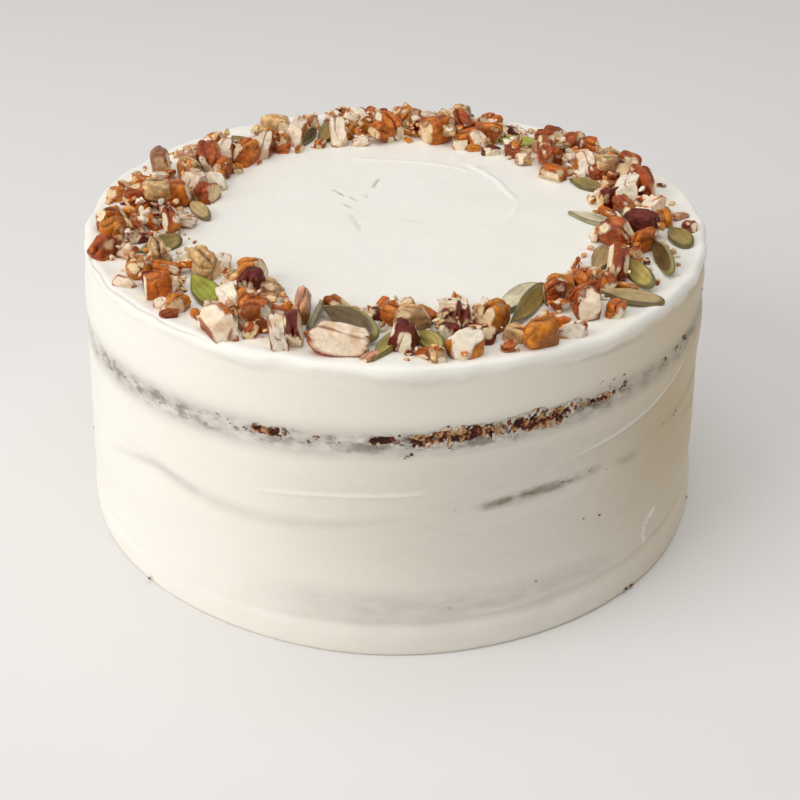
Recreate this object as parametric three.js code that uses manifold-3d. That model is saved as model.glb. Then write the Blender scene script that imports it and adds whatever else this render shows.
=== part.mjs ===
// Iced carrot cake: one solid sponge inside a thin coat of cream-cheese frosting that was scraped
// smooth, so that dark crumb shows in ragged bare patches along two bands, with a wreath of chopped
// pecans and pumpkin seeds pressed into the top. Millimetres, +Z up, the front faces -Y and the
// origin is the middle of the underside.
import * as THREE from 'three';
import { mergeVertices } from 'three/addons/utils/BufferGeometryUtils.js';
import Module from 'manifold-3d';

const wasm = await Module();
wasm.setup();

// --- Driving dimensions -------------------------------------------------------------------------

// Frosting coat, outside.
const TOP_HEIGHT = 69.0;
const FOOT_RADIUS = 78.2;
const WALL_RADIUS_LOW = 77.0;
const WALL_RADIUS_HIGH = 73.6;
const WALL_LOW_HEIGHT = 10;
const WALL_HIGH_HEIGHT = 64;
const CREASE_HEIGHT = 8.2;
const LIP_RISE = 0.5;
const BULGE_ANGLE = 105;
const BULGE_WIDTH = 34;
const BULGE_DEPTH = 1.5;
const COAT_SEGMENTS = 60;

// Sponge inside it, with the crumb edge that stands out at each band.
const SPONGE_RADIUS_LOW = 74.4;
const SPONGE_RADIUS_HIGH = 70.7;
const SPONGE_HEIGHT = 63.2;
const SPONGE_SHOULDER = 2.6;
const UPPER_BAND_HEIGHT = 53.7;
const UPPER_BAND_SLOPE = 3.2;
const UPPER_BAND_REACH = 1.75;
const LOWER_BAND_HEIGHT = 37.6;
const LOWER_BAND_SLOPE = 2.0;
const LOWER_BAND_REACH = 1.3;
const BAND_SPREAD = 2.4;
const CLEARANCE = 0.3;

// Bare patches in the coat: start and end in degrees round from the front, and half height.
const UPPER_PATCHES = [
  [-22.6, -16.9, 1.2], [-3.6, 0.7, 1.2], [2.8, 30.6, 2.4], [32.2, 38.6, 1.0],
  [85, 97, 1.7], [126, 147, 2.2], [-178, -166, 1.6], [-150, -138, 1.9], [-110, -96, 1.5],
];
const LOWER_PATCHES = [[112, 124, 1.0], [-146, -134, 1.0]];
const PATCH_STEP = 2.2;
const PATCH_END_HALF = 0.8;
const PATCH_WANDER = 0.3;
const PATCH_DEPTH = 4;
const PATCH_OVERSHOOT = 1.5;
const CRUMB_RECESS = 0.5;
const CRUMB_INSET = 0.35;
const FOOT_OVERSHOOT = 4;

// Vertices closer than this are one, and joins are thinned out below this size.
const MERGE_DISTANCE = 1e-4;
const FINEST_DETAIL = 0.05;

// Wreath of pecans and seeds: the ring they lie in, and how deep each is pressed into the frosting.
const WREATH_INNER = 47;
const WREATH_OUTER = 70;
const WREATH_SEED = 77;
const PRESS_DEPTH = 0.3;
const HANG_LIMIT = 1.5;

// A nut is about as thick as it is wide and sits well over a third of its thickness up. A seed is a thin flat
// kernel, and the further it is rolled on its edge the higher its middle.
const NUT_THICK_BASE = 4;
const NUT_THICK_SHARE = 0.5;
const NUT_RISE = 0.38;
const LONG_NUT = 6.5;
const SEED_THICK = 2.5;
const SEED_RISE = 1.5;

// The larger pieces, region by region. Each row is the kind, the middle's x and y, the length, the
// width, the heading of the length from +X, and the lean: a nut's tilt or a seed's roll.
const LEFT_PIECES = [
  ['nut', -52, 18, 13, 5, -75, 0], ['nut', -60, 25, 5, 7, 10, 0], ['nut', -62, 3, 7, 6, 15, 3],
  ['nut', -53, 5, 7, 6, 5, 0], ['seed', -47, 0, 11, 5, -60, 25], ['nut', -66, -10, 7, 5, 10, 0],
  ['nut', -52, -11, 7, 4, -75, -8], ['nut', -64, -17, 6, 6, 5, 0], ['seed', -53, -21, 11, 6, 40, 40],
  ['nut', -52, -27, 8, 5, -70, 0], ['seed', -46, -28, 9, 6, 32, 10], ['nut', -41, -32, 8, 6, -55, 0],
  ['nut', -50, -43, 6, 5, 10, 0],
];
const FRONT_PIECES = [
  ['seed', -40, -42, 16, 8, -62, 10], ['nut', -31, -36, 7, 5, 20, 15], ['nut', -30, -42, 7, 5, 70, 0],
  ['nut', -34, -49, 7, 5, -70, -5], ['nut', -28, -56, 7, 6, 0, 0], ['nut', -35, -59, 12, 6, -55, -8],
  ['nut', -23, -63, 10, 4, -80, -10], ['nut', -19, -51, 10, 4, -90, 0], ['nut', -20, -61, 9, 4, -85, 0],
  ['seed', -16, -53, 11, 5, -100, 60], ['seed', -9, -57, 16, 8, -48, 50], ['nut', -10, -65, 12, 7, -10, 0],
  ['seed', -1, -64, 13, 6, 65, -10], ['nut', 2, -64, 6, 5, 65, 5], ['nut', 4, -56, 7, 5, -20, 0],
  ['seed', 7, -63, 8, 5, -45, 55], ['nut', 14, -66, 7, 6, 30, 0], ['nut', 14, -56, 8, 3, -90, -25],
  ['nut', 20, -55, 7, 6, 40, 0], ['nut', 29, -62, 7, 6, 15, 0],
];
const RIGHT_PIECES = [
  ['seed', 26, -44, 17, 8, 57, 0], ['seed', 28, -48, 18, 6, 64, 55], ['nut', 34, -43, 6, 4, 40, 0],
  ['nut', 40, -45, 8, 4, 35, 0], ['nut', 40, -50, 5, 6, 20, 0], ['seed', 50, -42, 14, 8, -20, 0],
  ['nut', 49, -30, 11, 5, -100, -10], ['seed', 53, -32, 14, 6, -72, 45], ['seed', 46, -25, 13, 6, 70, 20],
  ['seed', 60, -24, 16, 6, -86, 60], ['nut', 51, -15, 8, 6, -45, 0], ['nut', 57, -17, 7, 4, 35, 0],
  ['seed', 66, -12, 10, 7, -75, 15], ['nut', 57, -10, 8, 7, -35, -8], ['seed', 47, -2, 12, 6, -35, 0],
  ['nut', 62, 0, 6, 6, -30, 0], ['nut', 52, 7, 7, 4, 35, 0], ['nut', 57, 10, 16, 6, -105, -6],
  ['nut', 62, 16, 16, 5, -85, 0], ['seed', 48, 19, 9, 6, -40, 10], ['nut', 49, 29, 8, 5, -80, -5],
];
const BACK_PIECES = [
  ['nut', 52, 40, 6, 4, -40, 0], ['nut', 43, 47, 7, 4, -35, 0], ['nut', 40, 37, 10, 5, -85, 0],
  ['seed', 33, 47, 10, 6, -12, 20], ['nut', 25, 50, 8, 5, -10, 0], ['nut', 18, 57, 11, 5, -75, -17],
  ['nut', 11, 51, 9, 8, 35, 0], ['nut', 3, 59, 7, 6, 55, 5], ['nut', -2, 53, 12, 6, -65, -8],
  ['nut', -11, 60, 6, 5, 15, 0], ['nut', -16, 49, 11, 5, -80, -8], ['seed', -19, 51, 15, 6, 78, 40],
  ['seed', -24, 49, 13, 4, 75, 50], ['nut', -27, 50, 14, 5, -95, 0], ['nut', -32, 51, 10, 6, -30, 0],
  ['nut', -35, 39, 12, 5, 80, 0], ['nut', -39, 33, 7, 5, 60, 0], ['seed', -41, 45, 11, 6, -50, 10],
  ['nut', -45, 32, 13, 5, -95, 0], ['nut', -48, 29, 12, 6, -80, -10],
];

// Small bits of nut fill the gaps, from the largest length down to the smallest.
const SMALL_BITS = 44;
const LARGEST_BIT = 7;
const SMALLEST_BIT = 3.6;
const BIT_RISE = 0.22;
const THIN_ANGLE = 38;
const THIN_WIDTH = 22;
const THIN_SHARE = 0.6;

// --- Repeatable random draw and the unevenness of the hand-spread coat -----------------------------

// Park-Miller generator: the same seed always lays the same wreath.
function makeDraw(seed) {
  let state = seed;
  return () => {
    state = (state * 16807) % 2147483647;
    return state / 2147483647;
  };
}

const radians = (angle) => (angle * Math.PI) / 180;

const degrees = (angle) => (angle * 180) / Math.PI;

// How far apart two angles are, in degrees.
const between = (one, other) => Math.abs(((one - other + 540) % 360) - 180);

const bell = (distance, width) => Math.exp(-((distance / width) ** 2));

// How far the coat stands off a true round at an angle, more so towards the top.
function unevenness(angle, height) {
  const bulge = BULGE_DEPTH * bell(between(angle, BULGE_ANGLE), BULGE_WIDTH) * (height / TOP_HEIGHT);
  const waves = 0.22 * Math.sin(radians(3 * angle + 40)) + 0.14 * Math.sin(radians(7 * angle + 110));
  return bulge + waves;
}

const upperBand = (angle) => UPPER_BAND_HEIGHT + UPPER_BAND_SLOPE * Math.sin(radians(angle));

const lowerBand = (angle) => LOWER_BAND_HEIGHT + LOWER_BAND_SLOPE * Math.sin(radians(angle));

// --- Mesh helpers ---------------------------------------------------------------------------------

function place(angle, radius, height) {
  const turn = radians(angle);
  return [radius * Math.sin(turn), -radius * Math.cos(turn), height];
}

// Shares the vertices along seams, so that the skin closes.
function closed(geometry) {
  geometry.deleteAttribute('normal');
  geometry.deleteAttribute('uv');
  return mergeVertices(geometry, MERGE_DISTANCE);
}

function solidOf(geometry) {
  const { attributes, index } = closed(geometry);
  return new wasm.Manifold(new wasm.Mesh({
    numProp: 3,
    vertProperties: new Float32Array(attributes.position.array),
    triVerts: new Uint32Array(index.array),
  }));
}

// Moves each vertex of a geometry to the place that `move` gives for its own coordinates.
function reshape(geometry, move) {
  const { position } = geometry.attributes;
  for (let i = 0; i < position.count; i += 1) {
    position.setXYZ(i, ...move(position.getX(i), position.getY(i), position.getZ(i), i));
  }
  return geometry;
}

// Keeps the largest closed skin: a sealed hollow is filled and a loose scrap is dropped.
function mainBody(solid) {
  const shells = solid.decompose();
  return shells.reduce((best, shell) => (shell.volume() > best.volume() ? shell : best));
}

function meshOf(solid, name, colour, roughness) {
  const data = solid.getMesh();
  const geometry = new THREE.BufferGeometry();
  geometry.setAttribute('position', new THREE.BufferAttribute(new Float32Array(data.vertProperties), 3));
  geometry.setIndex(new THREE.BufferAttribute(new Uint32Array(data.triVerts), 1));
  const material = new THREE.MeshStandardMaterial({ color: colour, roughness, metalness: 0 });
  const mesh = new THREE.Mesh(geometry, material);
  mesh.name = name;
  return mesh;
}

// Turned body from stacked rings, each a function of the angle that gives radius and height. The
// first and last ring are closed by a flat face.
function turnedBody(rings) {
  const bottom = rings[0](0)[1];
  const top = rings[rings.length - 1](0)[1];
  const levels = [() => [0, bottom], ...rings, () => [0, top]];
  const profile = levels.map((level) => new THREE.Vector2(...level(0)));
  const lathe = new THREE.LatheGeometry(profile, COAT_SEGMENTS);
  return solidOf(reshape(lathe, (x, y, z, i) => {
    const turn = Math.floor(i / levels.length) % COAT_SEGMENTS;
    const angle = (360 * turn) / COAT_SEGMENTS;
    return place(angle, ...levels[i % levels.length](angle));
  }));
}

// --- Frosting coat and sponge ---------------------------------------------------------------------

function wallRadius(angle, height) {
  const share = (height - WALL_LOW_HEIGHT) / (WALL_HIGH_HEIGHT - WALL_LOW_HEIGHT);
  const straight = WALL_RADIUS_LOW + (WALL_RADIUS_HIGH - WALL_RADIUS_LOW) * share;
  return straight + unevenness(angle, height);
}

// Outside of the coat: bulging foot, crease, tapering wall, rounded lip and nearly flat top.
function coatOutside() {
  const crease = (angle) => CREASE_HEIGHT + 1.3 * Math.sin(radians(angle - 10));
  const foot = (angle, inset) => FOOT_RADIUS - inset + unevenness(angle, 0);
  const wall = (height) => (angle) => [wallRadius(angle, height), height];
  const rim = (inset, height) => (angle) => [wallRadius(angle, TOP_HEIGHT) - inset, height];
  return turnedBody([
    (angle) => [foot(angle, 0.6), 0],
    (angle) => [foot(angle, 0), 1.6],
    (angle) => [foot(angle, 0.1), 4.4],
    (angle) => [foot(angle, 0.6), crease(angle) - 1.4],
    (angle) => [foot(angle, 1.4), crease(angle)],
    (angle) => [wallRadius(angle, crease(angle) + 2), crease(angle) + 2],
    wall(24),
    (angle) => [wallRadius(angle, lowerBand(angle)), lowerBand(angle)],
    (angle) => [wallRadius(angle, upperBand(angle)), upperBand(angle)],
    wall(TOP_HEIGHT - 4.4),
    rim(0.3, TOP_HEIGHT - 2.2),
    rim(1.2, TOP_HEIGHT - 0.4),
    rim(2.6, TOP_HEIGHT + LIP_RISE),
    rim(4.2, TOP_HEIGHT + LIP_RISE - 0.1),
    rim(6.8, TOP_HEIGHT),
    () => [34, TOP_HEIGHT + 0.1],
  ]);
}

function spongeRadius(angle, height) {
  const share = height / SPONGE_HEIGHT;
  const straight = SPONGE_RADIUS_LOW + (SPONGE_RADIUS_HIGH - SPONGE_RADIUS_LOW) * share;
  const upper = UPPER_BAND_REACH * bell(height - upperBand(angle), BAND_SPREAD);
  const lower = LOWER_BAND_REACH * bell(height - lowerBand(angle), BAND_SPREAD);
  return straight + upper + lower + unevenness(angle, height);
}

// Sponge out to its crumb edge, or the cutter for it: grown by `gap` and let down by `drop`.
function spongeBody(gap, drop) {
  const beside = (band, step) => (angle) => {
    const height = band(angle) + step;
    return [spongeRadius(angle, height) + gap, height];
  };
  return turnedBody([
    (angle) => [spongeRadius(angle, 0) + gap, -drop],
    beside(lowerBand, -3.6),
    beside(lowerBand, -1),
    beside(lowerBand, 1),
    beside(lowerBand, 3.6),
    beside(upperBand, -3.6),
    beside(upperBand, -1),
    beside(upperBand, 1),
    beside(upperBand, 3.6),
    (angle) => [spongeRadius(angle, SPONGE_HEIGHT) + gap, SPONGE_HEIGHT - SPONGE_SHOULDER + gap],
    (angle) => [spongeRadius(angle, SPONGE_HEIGHT) - SPONGE_SHOULDER + gap, SPONGE_HEIGHT + gap],
  ]);
}

// Ragged block bent along a band: the bare patch in the coat, or with `inset` the crumb that fills it.
function patchBlock(patch, band, inset, seed) {
  const [start, end, half] = patch;
  const draw = makeDraw(seed);
  const margin = degrees(inset / WALL_RADIUS_LOW);
  const steps = Math.max(3, Math.round((end - start) / PATCH_STEP));
  const reach = (swell) => PATCH_END_HALF + (half - PATCH_END_HALF) * swell * (0.7 + 0.6 * draw()) - inset;
  const sections = Array.from({ length: steps + 1 }, (unused, i) => {
    const share = i / steps;
    const angle = start + margin + (end - start - 2 * margin) * share;
    const swell = Math.sqrt(4 * share * (1 - share));
    const middle = band(angle) + PATCH_WANDER * (draw() - 0.5);
    return { angle, top: middle + reach(swell), bottom: middle - reach(swell) };
  });
  const face = inset > 0 ? -CRUMB_RECESS : PATCH_OVERSHOOT;
  const block = new THREE.BoxGeometry(1, 1, 1, steps, 1, 1);
  return solidOf(reshape(block, (along, up, out) => {
    const { angle, top, bottom } = sections[Math.round((along + 0.5) * steps)];
    const radius = wallRadius(angle, 0.5 * (top + bottom)) + (out > 0 ? face : -PATCH_DEPTH);
    return place(angle, radius, up > 0 ? top : bottom);
  }));
}

function patchBlocks(inset) {
  const upper = UPPER_PATCHES.map((patch, i) => patchBlock(patch, upperBand, inset, 101 + 17 * i));
  const lower = LOWER_PATCHES.map((patch, i) => patchBlock(patch, lowerBand, inset, 907 + 17 * i));
  return [...upper, ...lower];
}

// --- Wreath pieces, each modelled about its own middle with its length along X -----------------------

// Pumpkin kernel: a flat teardrop, narrow at its rear, with a keel point on both faces.
function seedShape({ length, width, thick }) {
  const kernel = new THREE.SphereGeometry(0.5, 10, 2).rotateX(Math.PI / 2);
  return reshape(kernel, (along, across, up) => {
    const taper = 1 + 0.5 * along;
    return [along * length, across * width * taper, up * thick];
  });
}

// Chopped nut: a stick or a crumb with blunt broken ends, fattest in the middle and uneven all over.
function nutShape({ length, width, thick }, draw) {
  const long = length > LONG_NUT;
  const stick = new THREE.CylinderGeometry(0.33, 0.36, 1, 5, long ? 2 : 1);
  return reshape(closed(stick.rotateZ(-Math.PI / 2)), (along, across, up) => {
    const swell = long ? 1.4 - 0.8 * Math.abs(along) : 1.25;
    const uneven = swell * (0.84 + 0.3 * draw());
    const skew = 0.12 * (draw() - 0.5);
    return [(along + skew) * length, across * uneven * width, up * uneven * thick];
  });
}

// Moves a piece from its own middle to its place: rolled about its length, tilted, then headed.
// A piece that would hang just above the frosting is let down until it is pressed in.
function setDown(geometry, piece) {
  const { roll, tilt, heading, x, y, z } = piece;
  geometry.applyMatrix4(new THREE.Matrix4().makeRotationX(radians(roll)));
  geometry.applyMatrix4(new THREE.Matrix4().makeRotationY(radians(-tilt)));
  geometry.applyMatrix4(new THREE.Matrix4().makeRotationZ(radians(heading)));
  geometry.translate(x, y, z);
  geometry.computeBoundingBox();
  const hang = geometry.boundingBox.min.z - (TOP_HEIGHT - PRESS_DEPTH);
  if (hang > 0 && hang < HANG_LIMIT) {
    geometry.translate(0, 0, -hang);
  }
  return solidOf(geometry);
}

function pieceSolid(piece, index) {
  const shape = piece.kind === 'seed' ? seedShape(piece) : nutShape(piece, makeDraw(3001 + 59 * index));
  return setDown(shape, piece);
}

// --- Laying the wreath ----------------------------------------------------------------------------

const reachOf = (piece) => 0.3 * (piece.length + piece.width);

const gapBetween = (one, other) => Math.hypot(one.x - other.x, one.y - other.y);

// Share of the full covering that the wreath has at an angle; it thins at the right of the front.
const cover = (angle) => 1 - THIN_SHARE * bell(between(angle, THIN_ANGLE), THIN_WIDTH);

function nutPiece(x, y, length, width, heading, tilt) {
  const thick = NUT_THICK_BASE + NUT_THICK_SHARE * width;
  const z = TOP_HEIGHT + NUT_RISE * thick;
  return { kind: 'nut', x, y, z, length, width, thick, heading, tilt, roll: 0 };
}

function seedPiece(x, y, length, width, heading, roll) {
  const z = TOP_HEIGHT + SEED_RISE + 0.3 * width * Math.abs(Math.sin(radians(roll)));
  return { kind: 'seed', x, y, z, length, width, thick: SEED_THICK, heading, tilt: 0, roll };
}

function largePieces() {
  const rows = [...LEFT_PIECES, ...FRONT_PIECES, ...RIGHT_PIECES, ...BACK_PIECES];
  return rows.map(([kind, ...sizes]) => (kind === 'seed' ? seedPiece(...sizes) : nutPiece(...sizes)));
}

// Fills the gaps of the ring with small bits of nut, sunk into the frosting where there is room.
function addSmallBits(large) {
  const draw = makeDraw(WREATH_SEED);
  const pieces = [...large];
  for (let tries = 0; tries < 4000 && pieces.length < large.length + SMALL_BITS; tries += 1) {
    const share = (pieces.length - large.length) / SMALL_BITS;
    const angle = 360 * draw() - 180;
    const radius = WREATH_INNER + (WREATH_OUTER - WREATH_INNER) * draw();
    const [x, y] = place(angle, radius, 0);
    const length = (LARGEST_BIT + (SMALLEST_BIT - LARGEST_BIT) * share) * (0.85 + 0.3 * draw());
    const width = length * (0.6 + 0.25 * draw());
    const thick = width * (0.8 + 0.2 * draw());
    const heading = 360 * draw();
    const tilt = 30 * (draw() - 0.5);
    const keep = draw();
    const z = TOP_HEIGHT + BIT_RISE * thick;
    const piece = { kind: 'nut', x, y, z, length, width, thick, heading, tilt, roll: 0 };
    const near = (other) => gapBetween(other, piece) < 0.72 * (reachOf(other) + reachOf(piece));
    if (keep < cover(angle) && !pieces.some(near)) {
      pieces.push(piece);
    }
  }
  return pieces;
}

// --- Assembly -------------------------------------------------------------------------------------

function frosting() {
  const bare = coatOutside().subtract(spongeBody(CLEARANCE, FOOT_OVERSHOOT));
  const patched = patchBlocks(0).reduce((coat, patch) => coat.subtract(patch), bare);
  const pieces = addSmallBits(largePieces()).map(pieceSolid);
  return mainBody(wasm.Manifold.union([patched, ...pieces]).simplify(FINEST_DETAIL));
}

function sponge() {
  return patchBlocks(CRUMB_INSET).reduce((body, crumb) => body.add(crumb), spongeBody(0, 0));
}

const group = new THREE.Group();
group.name = 'carrot_cake';
group.add(meshOf(frosting(), 'frosting', 0xf4efe0, 0.5));
group.add(meshOf(sponge(), 'sponge', 0x5e3216, 0.95));
export default group;
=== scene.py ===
"""Iced carrot cake: a dark sponge in a thin coat of cream-cheese frosting, scraped smooth so that the
crumb shows in ragged bare patches along two bands, with a wreath of chopped pecans and pumpkin seeds.

Lengths in this script are millimetres and angles degrees. An angle round the cake starts at the
front, -Y, and grows towards +X. Points are turned to metres where a mesh takes them.
"""

import math
from collections import namedtuple

import bpy
import numpy as np
from mathutils import Matrix, Vector


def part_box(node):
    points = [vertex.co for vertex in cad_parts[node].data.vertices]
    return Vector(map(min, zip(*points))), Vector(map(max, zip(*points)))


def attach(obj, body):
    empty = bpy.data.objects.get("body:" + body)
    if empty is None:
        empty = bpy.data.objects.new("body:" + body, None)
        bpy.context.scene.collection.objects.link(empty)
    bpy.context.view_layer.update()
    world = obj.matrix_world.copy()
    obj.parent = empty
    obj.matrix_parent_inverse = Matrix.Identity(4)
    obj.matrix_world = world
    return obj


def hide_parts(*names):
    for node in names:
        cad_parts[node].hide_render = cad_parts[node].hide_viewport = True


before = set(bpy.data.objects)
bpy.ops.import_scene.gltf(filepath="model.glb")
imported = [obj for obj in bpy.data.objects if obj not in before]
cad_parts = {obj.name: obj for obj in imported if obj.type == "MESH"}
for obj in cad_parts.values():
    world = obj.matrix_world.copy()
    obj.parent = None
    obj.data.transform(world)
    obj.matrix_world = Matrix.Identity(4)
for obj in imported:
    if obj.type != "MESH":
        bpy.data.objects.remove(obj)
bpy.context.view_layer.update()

# --- Driving dimensions ---

MM = 0.001

# The coat and the sponge take their size from the solid model.
coat_low, coat_high = (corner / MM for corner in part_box("frosting"))
SPONGE_HEIGHT = (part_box("sponge")[1] / MM).z
TOP_HEIGHT = SPONGE_HEIGHT + 5.8
FOOT_RADIUS = (coat_high.x - coat_low.x) / 2
WALL_RADIUS_LOW = FOOT_RADIUS - 1.2
WALL_RADIUS_HIGH = FOOT_RADIUS - 4.6
WALL_LOW_HEIGHT = 10
WALL_HIGH_HEIGHT = 64
CREASE_HEIGHT = 8.2
CREASE_SWAY = 1.3
LIP_HEIGHT = 1.9
LIP_DEPTH = 0.6
SPONGE_RADIUS_LOW = FOOT_RADIUS - 3.8
SPONGE_RADIUS_HIGH = FOOT_RADIUS - 7.5
SPONGE_EDGE = 2.6
CLEARANCE = 0.3

# The coat bulges at the right, and its two bands of thin frosting rise towards the right.
BULGE_ANGLE = 105
BULGE_WIDTH = 34
BULGE_DEPTH = 1.5
UPPER_BAND_HEIGHT = 53.7
UPPER_BAND_SLOPE = 3.2
LOWER_BAND_HEIGHT = 37.6
LOWER_BAND_SLOPE = 2.0
LOWER_BAND_DIP = 5.2
DIP_ANGLE = -22
DIP_WIDTH = 26
BAND_SPREAD = 2.4
LOWER_BAND_SPREAD = 1.8

# Bare patches: start and end angle and half height. A block of crumb reaches past its patch by the
# margin, and its back lies a depth inside the wall.
UPPER_PATCHES = [
    (-22.6, -16.9, 1.0), (-3.6, 0.7, 1.0), (2.8, 7.6, 1.5), (7.2, 17.6, 1.7), (17.0, 30.8, 1.9),
    (31.0, 38.6, 0.8), (85, 97, 1.6), (126, 147, 1.9), (-178, -166, 1.4), (-150, -138, 1.7),
    (-110, -96, 1.4),
]
LOWER_PATCHES = [(112, 124, 1.0), (-146, -134, 1.0)]
DENT_DEPTH = 0.75
PATCH_MARGIN = 1.8
CRUMB_DEPTH = 3.4

# Mesh steps: round the coat, round the sponge, and along a patch of bare crumb.
COAT_STEPS = 480
SPONGE_STEPS = 200
FRONT_CRUMB_STEP = 0.16
BACK_CRUMB_STEP = 0.3

# How many crossing waves make up an unevenness.
WAVES = 22

# The wreath, as in the solid model.
WREATH_INNER = 47
WREATH_OUTER = 70
WREATH_SEED = 77
PRESS_DEPTH = 0.3
HANG_LIMIT = 1.5
NUT_THICK_BASE = 4
NUT_THICK_SHARE = 0.5
NUT_RISE = 0.38
SEED_THICK = 2.5
SEED_RISE = 1.5
SMALL_BITS = 44
LARGEST_BIT = 7
SMALLEST_BIT = 3.6
BIT_RISE = 0.22
THIN_ANGLE = 38
THIN_WIDTH = 22
THIN_SHARE = 0.6
PIECE_SEED = 3001
PIECE_SEED_STEP = 59
NEAR_SHARE = 0.72
BIT_TRIES = 4000

# Chips and scraps of nut that fill the wreath up, how long they are and how high over the top they rest.
FILLERS = 140
LARGEST_FILLER = 7.5
SCRAPS = 560
LARGEST_SCRAP = 4.2
SMALLEST_SCRAP = 0.9
HIGHEST_REST = 4.2
SCRAP_FACES = 13
FILLER_SEED = 4242

# How high the pieces are heaped over each cell of a grid, so that small ones come to rest on them, and
# the cells where a seed lies.
HEAP_STEP = 0.8
HEAP_CELLS = round(2 * FOOT_RADIUS / HEAP_STEP)
heap = np.full((HEAP_CELLS, HEAP_CELLS), TOP_HEIGHT, float)
on_seed = np.zeros((HEAP_CELLS, HEAP_CELLS), bool)

# Angles up to which nuts, seeds and crumbs of cake are shaded smooth.
NUT_CREASE = 35
SEED_CREASE = 60
CRUMB_CREASE = 30

# Each row: tone, middle x and y, length, width, heading, and a nut's tilt or a seed's roll.
LEFT_PIECES = [
    ("amber", -52, 18, 13, 5, -75, 0), ("pink", -60, 25, 5, 7, 10, 0), ("rust", -62, 3, 7, 6, 15, 3),
    ("orange", -53, 5, 7, 6, 5, 0), ("tan seed", -47, 0, 11, 5, -60, 25), ("orange", -66, -10, 7, 5, 10, 0),
    ("rust", -52, -11, 7, 4, -75, -8), ("amber", -64, -17, 6, 6, 5, 0),
    ("olive seed", -53, -21, 11, 6, 40, 40), ("tan", -52, -27, 8, 5, -70, 0),
    ("sage seed", -46, -28, 9, 6, 32, 10), ("tan", -41, -32, 8, 6, -55, 0),
    ("orange", -50, -43, 6, 5, 10, 0),
]
FRONT_PIECES = [
    ("green seed", -40, -42, 16, 8, -62, 10), ("amber", -31, -36, 7, 5, 20, 15),
    ("maroon", -30, -42, 7, 5, 70, 0), ("pale", -34, -49, 7, 5, -70, -5), ("orange", -28, -56, 7, 6, 0, 0),
    ("flesh", -35, -59, 12, 6, -55, -8), ("pale", -23, -63, 10, 4, -80, -10),
    ("pink", -19, -51, 10, 4, -90, 0), ("maroon", -20, -61, 9, 4, -85, 0),
    ("sage seed", -16, -53, 11, 5, -100, 60), ("dark seed", -9, -57, 16, 8, -48, 50),
    ("flesh", -10, -65, 12, 7, -10, 0), ("lime seed", -1, -64, 13, 6, 65, -10),
    ("maroon", 2, -64, 6, 5, 65, 5), ("tan", 4, -56, 7, 5, -20, 0), ("lime seed", 7, -63, 8, 5, -45, 55),
    ("pale", 14, -66, 7, 6, 30, 0), ("maroon", 14, -56, 8, 3, -90, -25), ("amber", 20, -55, 7, 6, 40, 0),
    ("amber", 29, -62, 7, 6, 15, 0),
]
RIGHT_PIECES = [
    ("sage seed", 26, -44, 17, 8, 57, 0), ("olive seed", 28, -48, 18, 6, 64, 55),
    ("rust", 34, -43, 6, 4, 40, 0), ("rust", 40, -45, 8, 4, 35, 0), ("flesh", 40, -50, 5, 6, 20, 0),
    ("tan seed", 50, -42, 14, 8, -20, 0), ("rust", 49, -30, 11, 5, -100, -10),
    ("lime seed", 53, -32, 14, 6, -72, 45), ("tan seed", 46, -25, 13, 6, 70, 20),
    ("dark seed", 60, -24, 16, 6, -86, 60), ("rust", 51, -15, 8, 6, -45, 0),
    ("orange", 57, -17, 7, 4, 35, 0), ("olive seed", 66, -12, 10, 7, -75, 15),
    ("maroon", 57, -10, 8, 7, -35, -8), ("sage seed", 47, -2, 12, 6, -35, 0),
    ("flesh", 62, 0, 6, 6, -30, 0), ("maroon", 52, 7, 7, 4, 35, 0), ("pale", 57, 10, 16, 6, -105, -6),
    ("rust", 62, 16, 16, 5, -85, 0), ("olive seed", 48, 19, 9, 6, -40, 10), ("pale", 49, 29, 8, 5, -80, -5),
]
BACK_PIECES = [
    ("orange", 52, 40, 6, 4, -40, 0), ("rust", 43, 47, 7, 4, -35, 0), ("rust", 40, 37, 10, 5, -85, 0),
    ("green seed", 33, 47, 10, 6, -12, 20), ("orange", 25, 50, 8, 5, -10, 0),
    ("rust", 18, 57, 11, 5, -75, -17), ("orange", 11, 51, 9, 8, 35, 0), ("amber", 3, 59, 7, 6, 55, 5),
    ("orange", -2, 53, 12, 6, -65, -8), ("pale", -11, 60, 6, 5, 15, 0), ("flesh", -16, 49, 11, 5, -80, -8),
    ("olive seed", -19, 51, 15, 6, 78, 40), ("dark seed", -24, 49, 13, 4, 75, 50),
    ("flesh", -27, 50, 14, 5, -95, 0), ("tan", -32, 51, 10, 6, -30, 0), ("flesh", -35, 39, 12, 5, 80, 0),
    ("orange", -39, 33, 7, 5, 60, 0), ("olive seed", -41, 45, 11, 6, -50, 10),
    ("flesh", -45, 32, 13, 5, -95, 0), ("rust", -48, 29, 12, 6, -80, -10),
]

# Colours of the pecan's papery skin, of its broken flesh, of the pumpkin seeds and of the crumb, all sRGB.
SKIN_TONES = {
    "orange": "C86A1A", "amber": "D48226", "rust": "A64A16", "maroon": "6A1C10",
    "tan": "DCB680", "pink": "D8A07C",
}
FLESH_TONES = {"flesh": "F3DEC4", "pale": "F6E8D2"}
BROKEN_TONES = ("F2DDB8", "F5E6CA", "EDD1A4")
SEED_TONES = {
    "olive seed": "9A8448", "green seed": "9C9E3C", "dark seed": "665230", "sage seed": "D2C6A4",
    "lime seed": "B4A25A", "tan seed": "BAA070",
}
# A painted highlight for the pecan skin's crests, and painted shade for its folds and one side, which also
# colours its dark edge.
SKIN_HIGHLIGHT_TONE = "E2943E"
SKIN_SHADE_AND_EDGE_TONE = "561C08"
SEAM_TONE = "8A3E20"
VEIN_TONE = "D0A470"
SCRAP_TONE = "E6C898"
RIM_TONE = "544C28"
# A painted highlight along the rim of the dark seeds.
RIM_HIGHLIGHT_TONE = "A09A5A"
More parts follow.
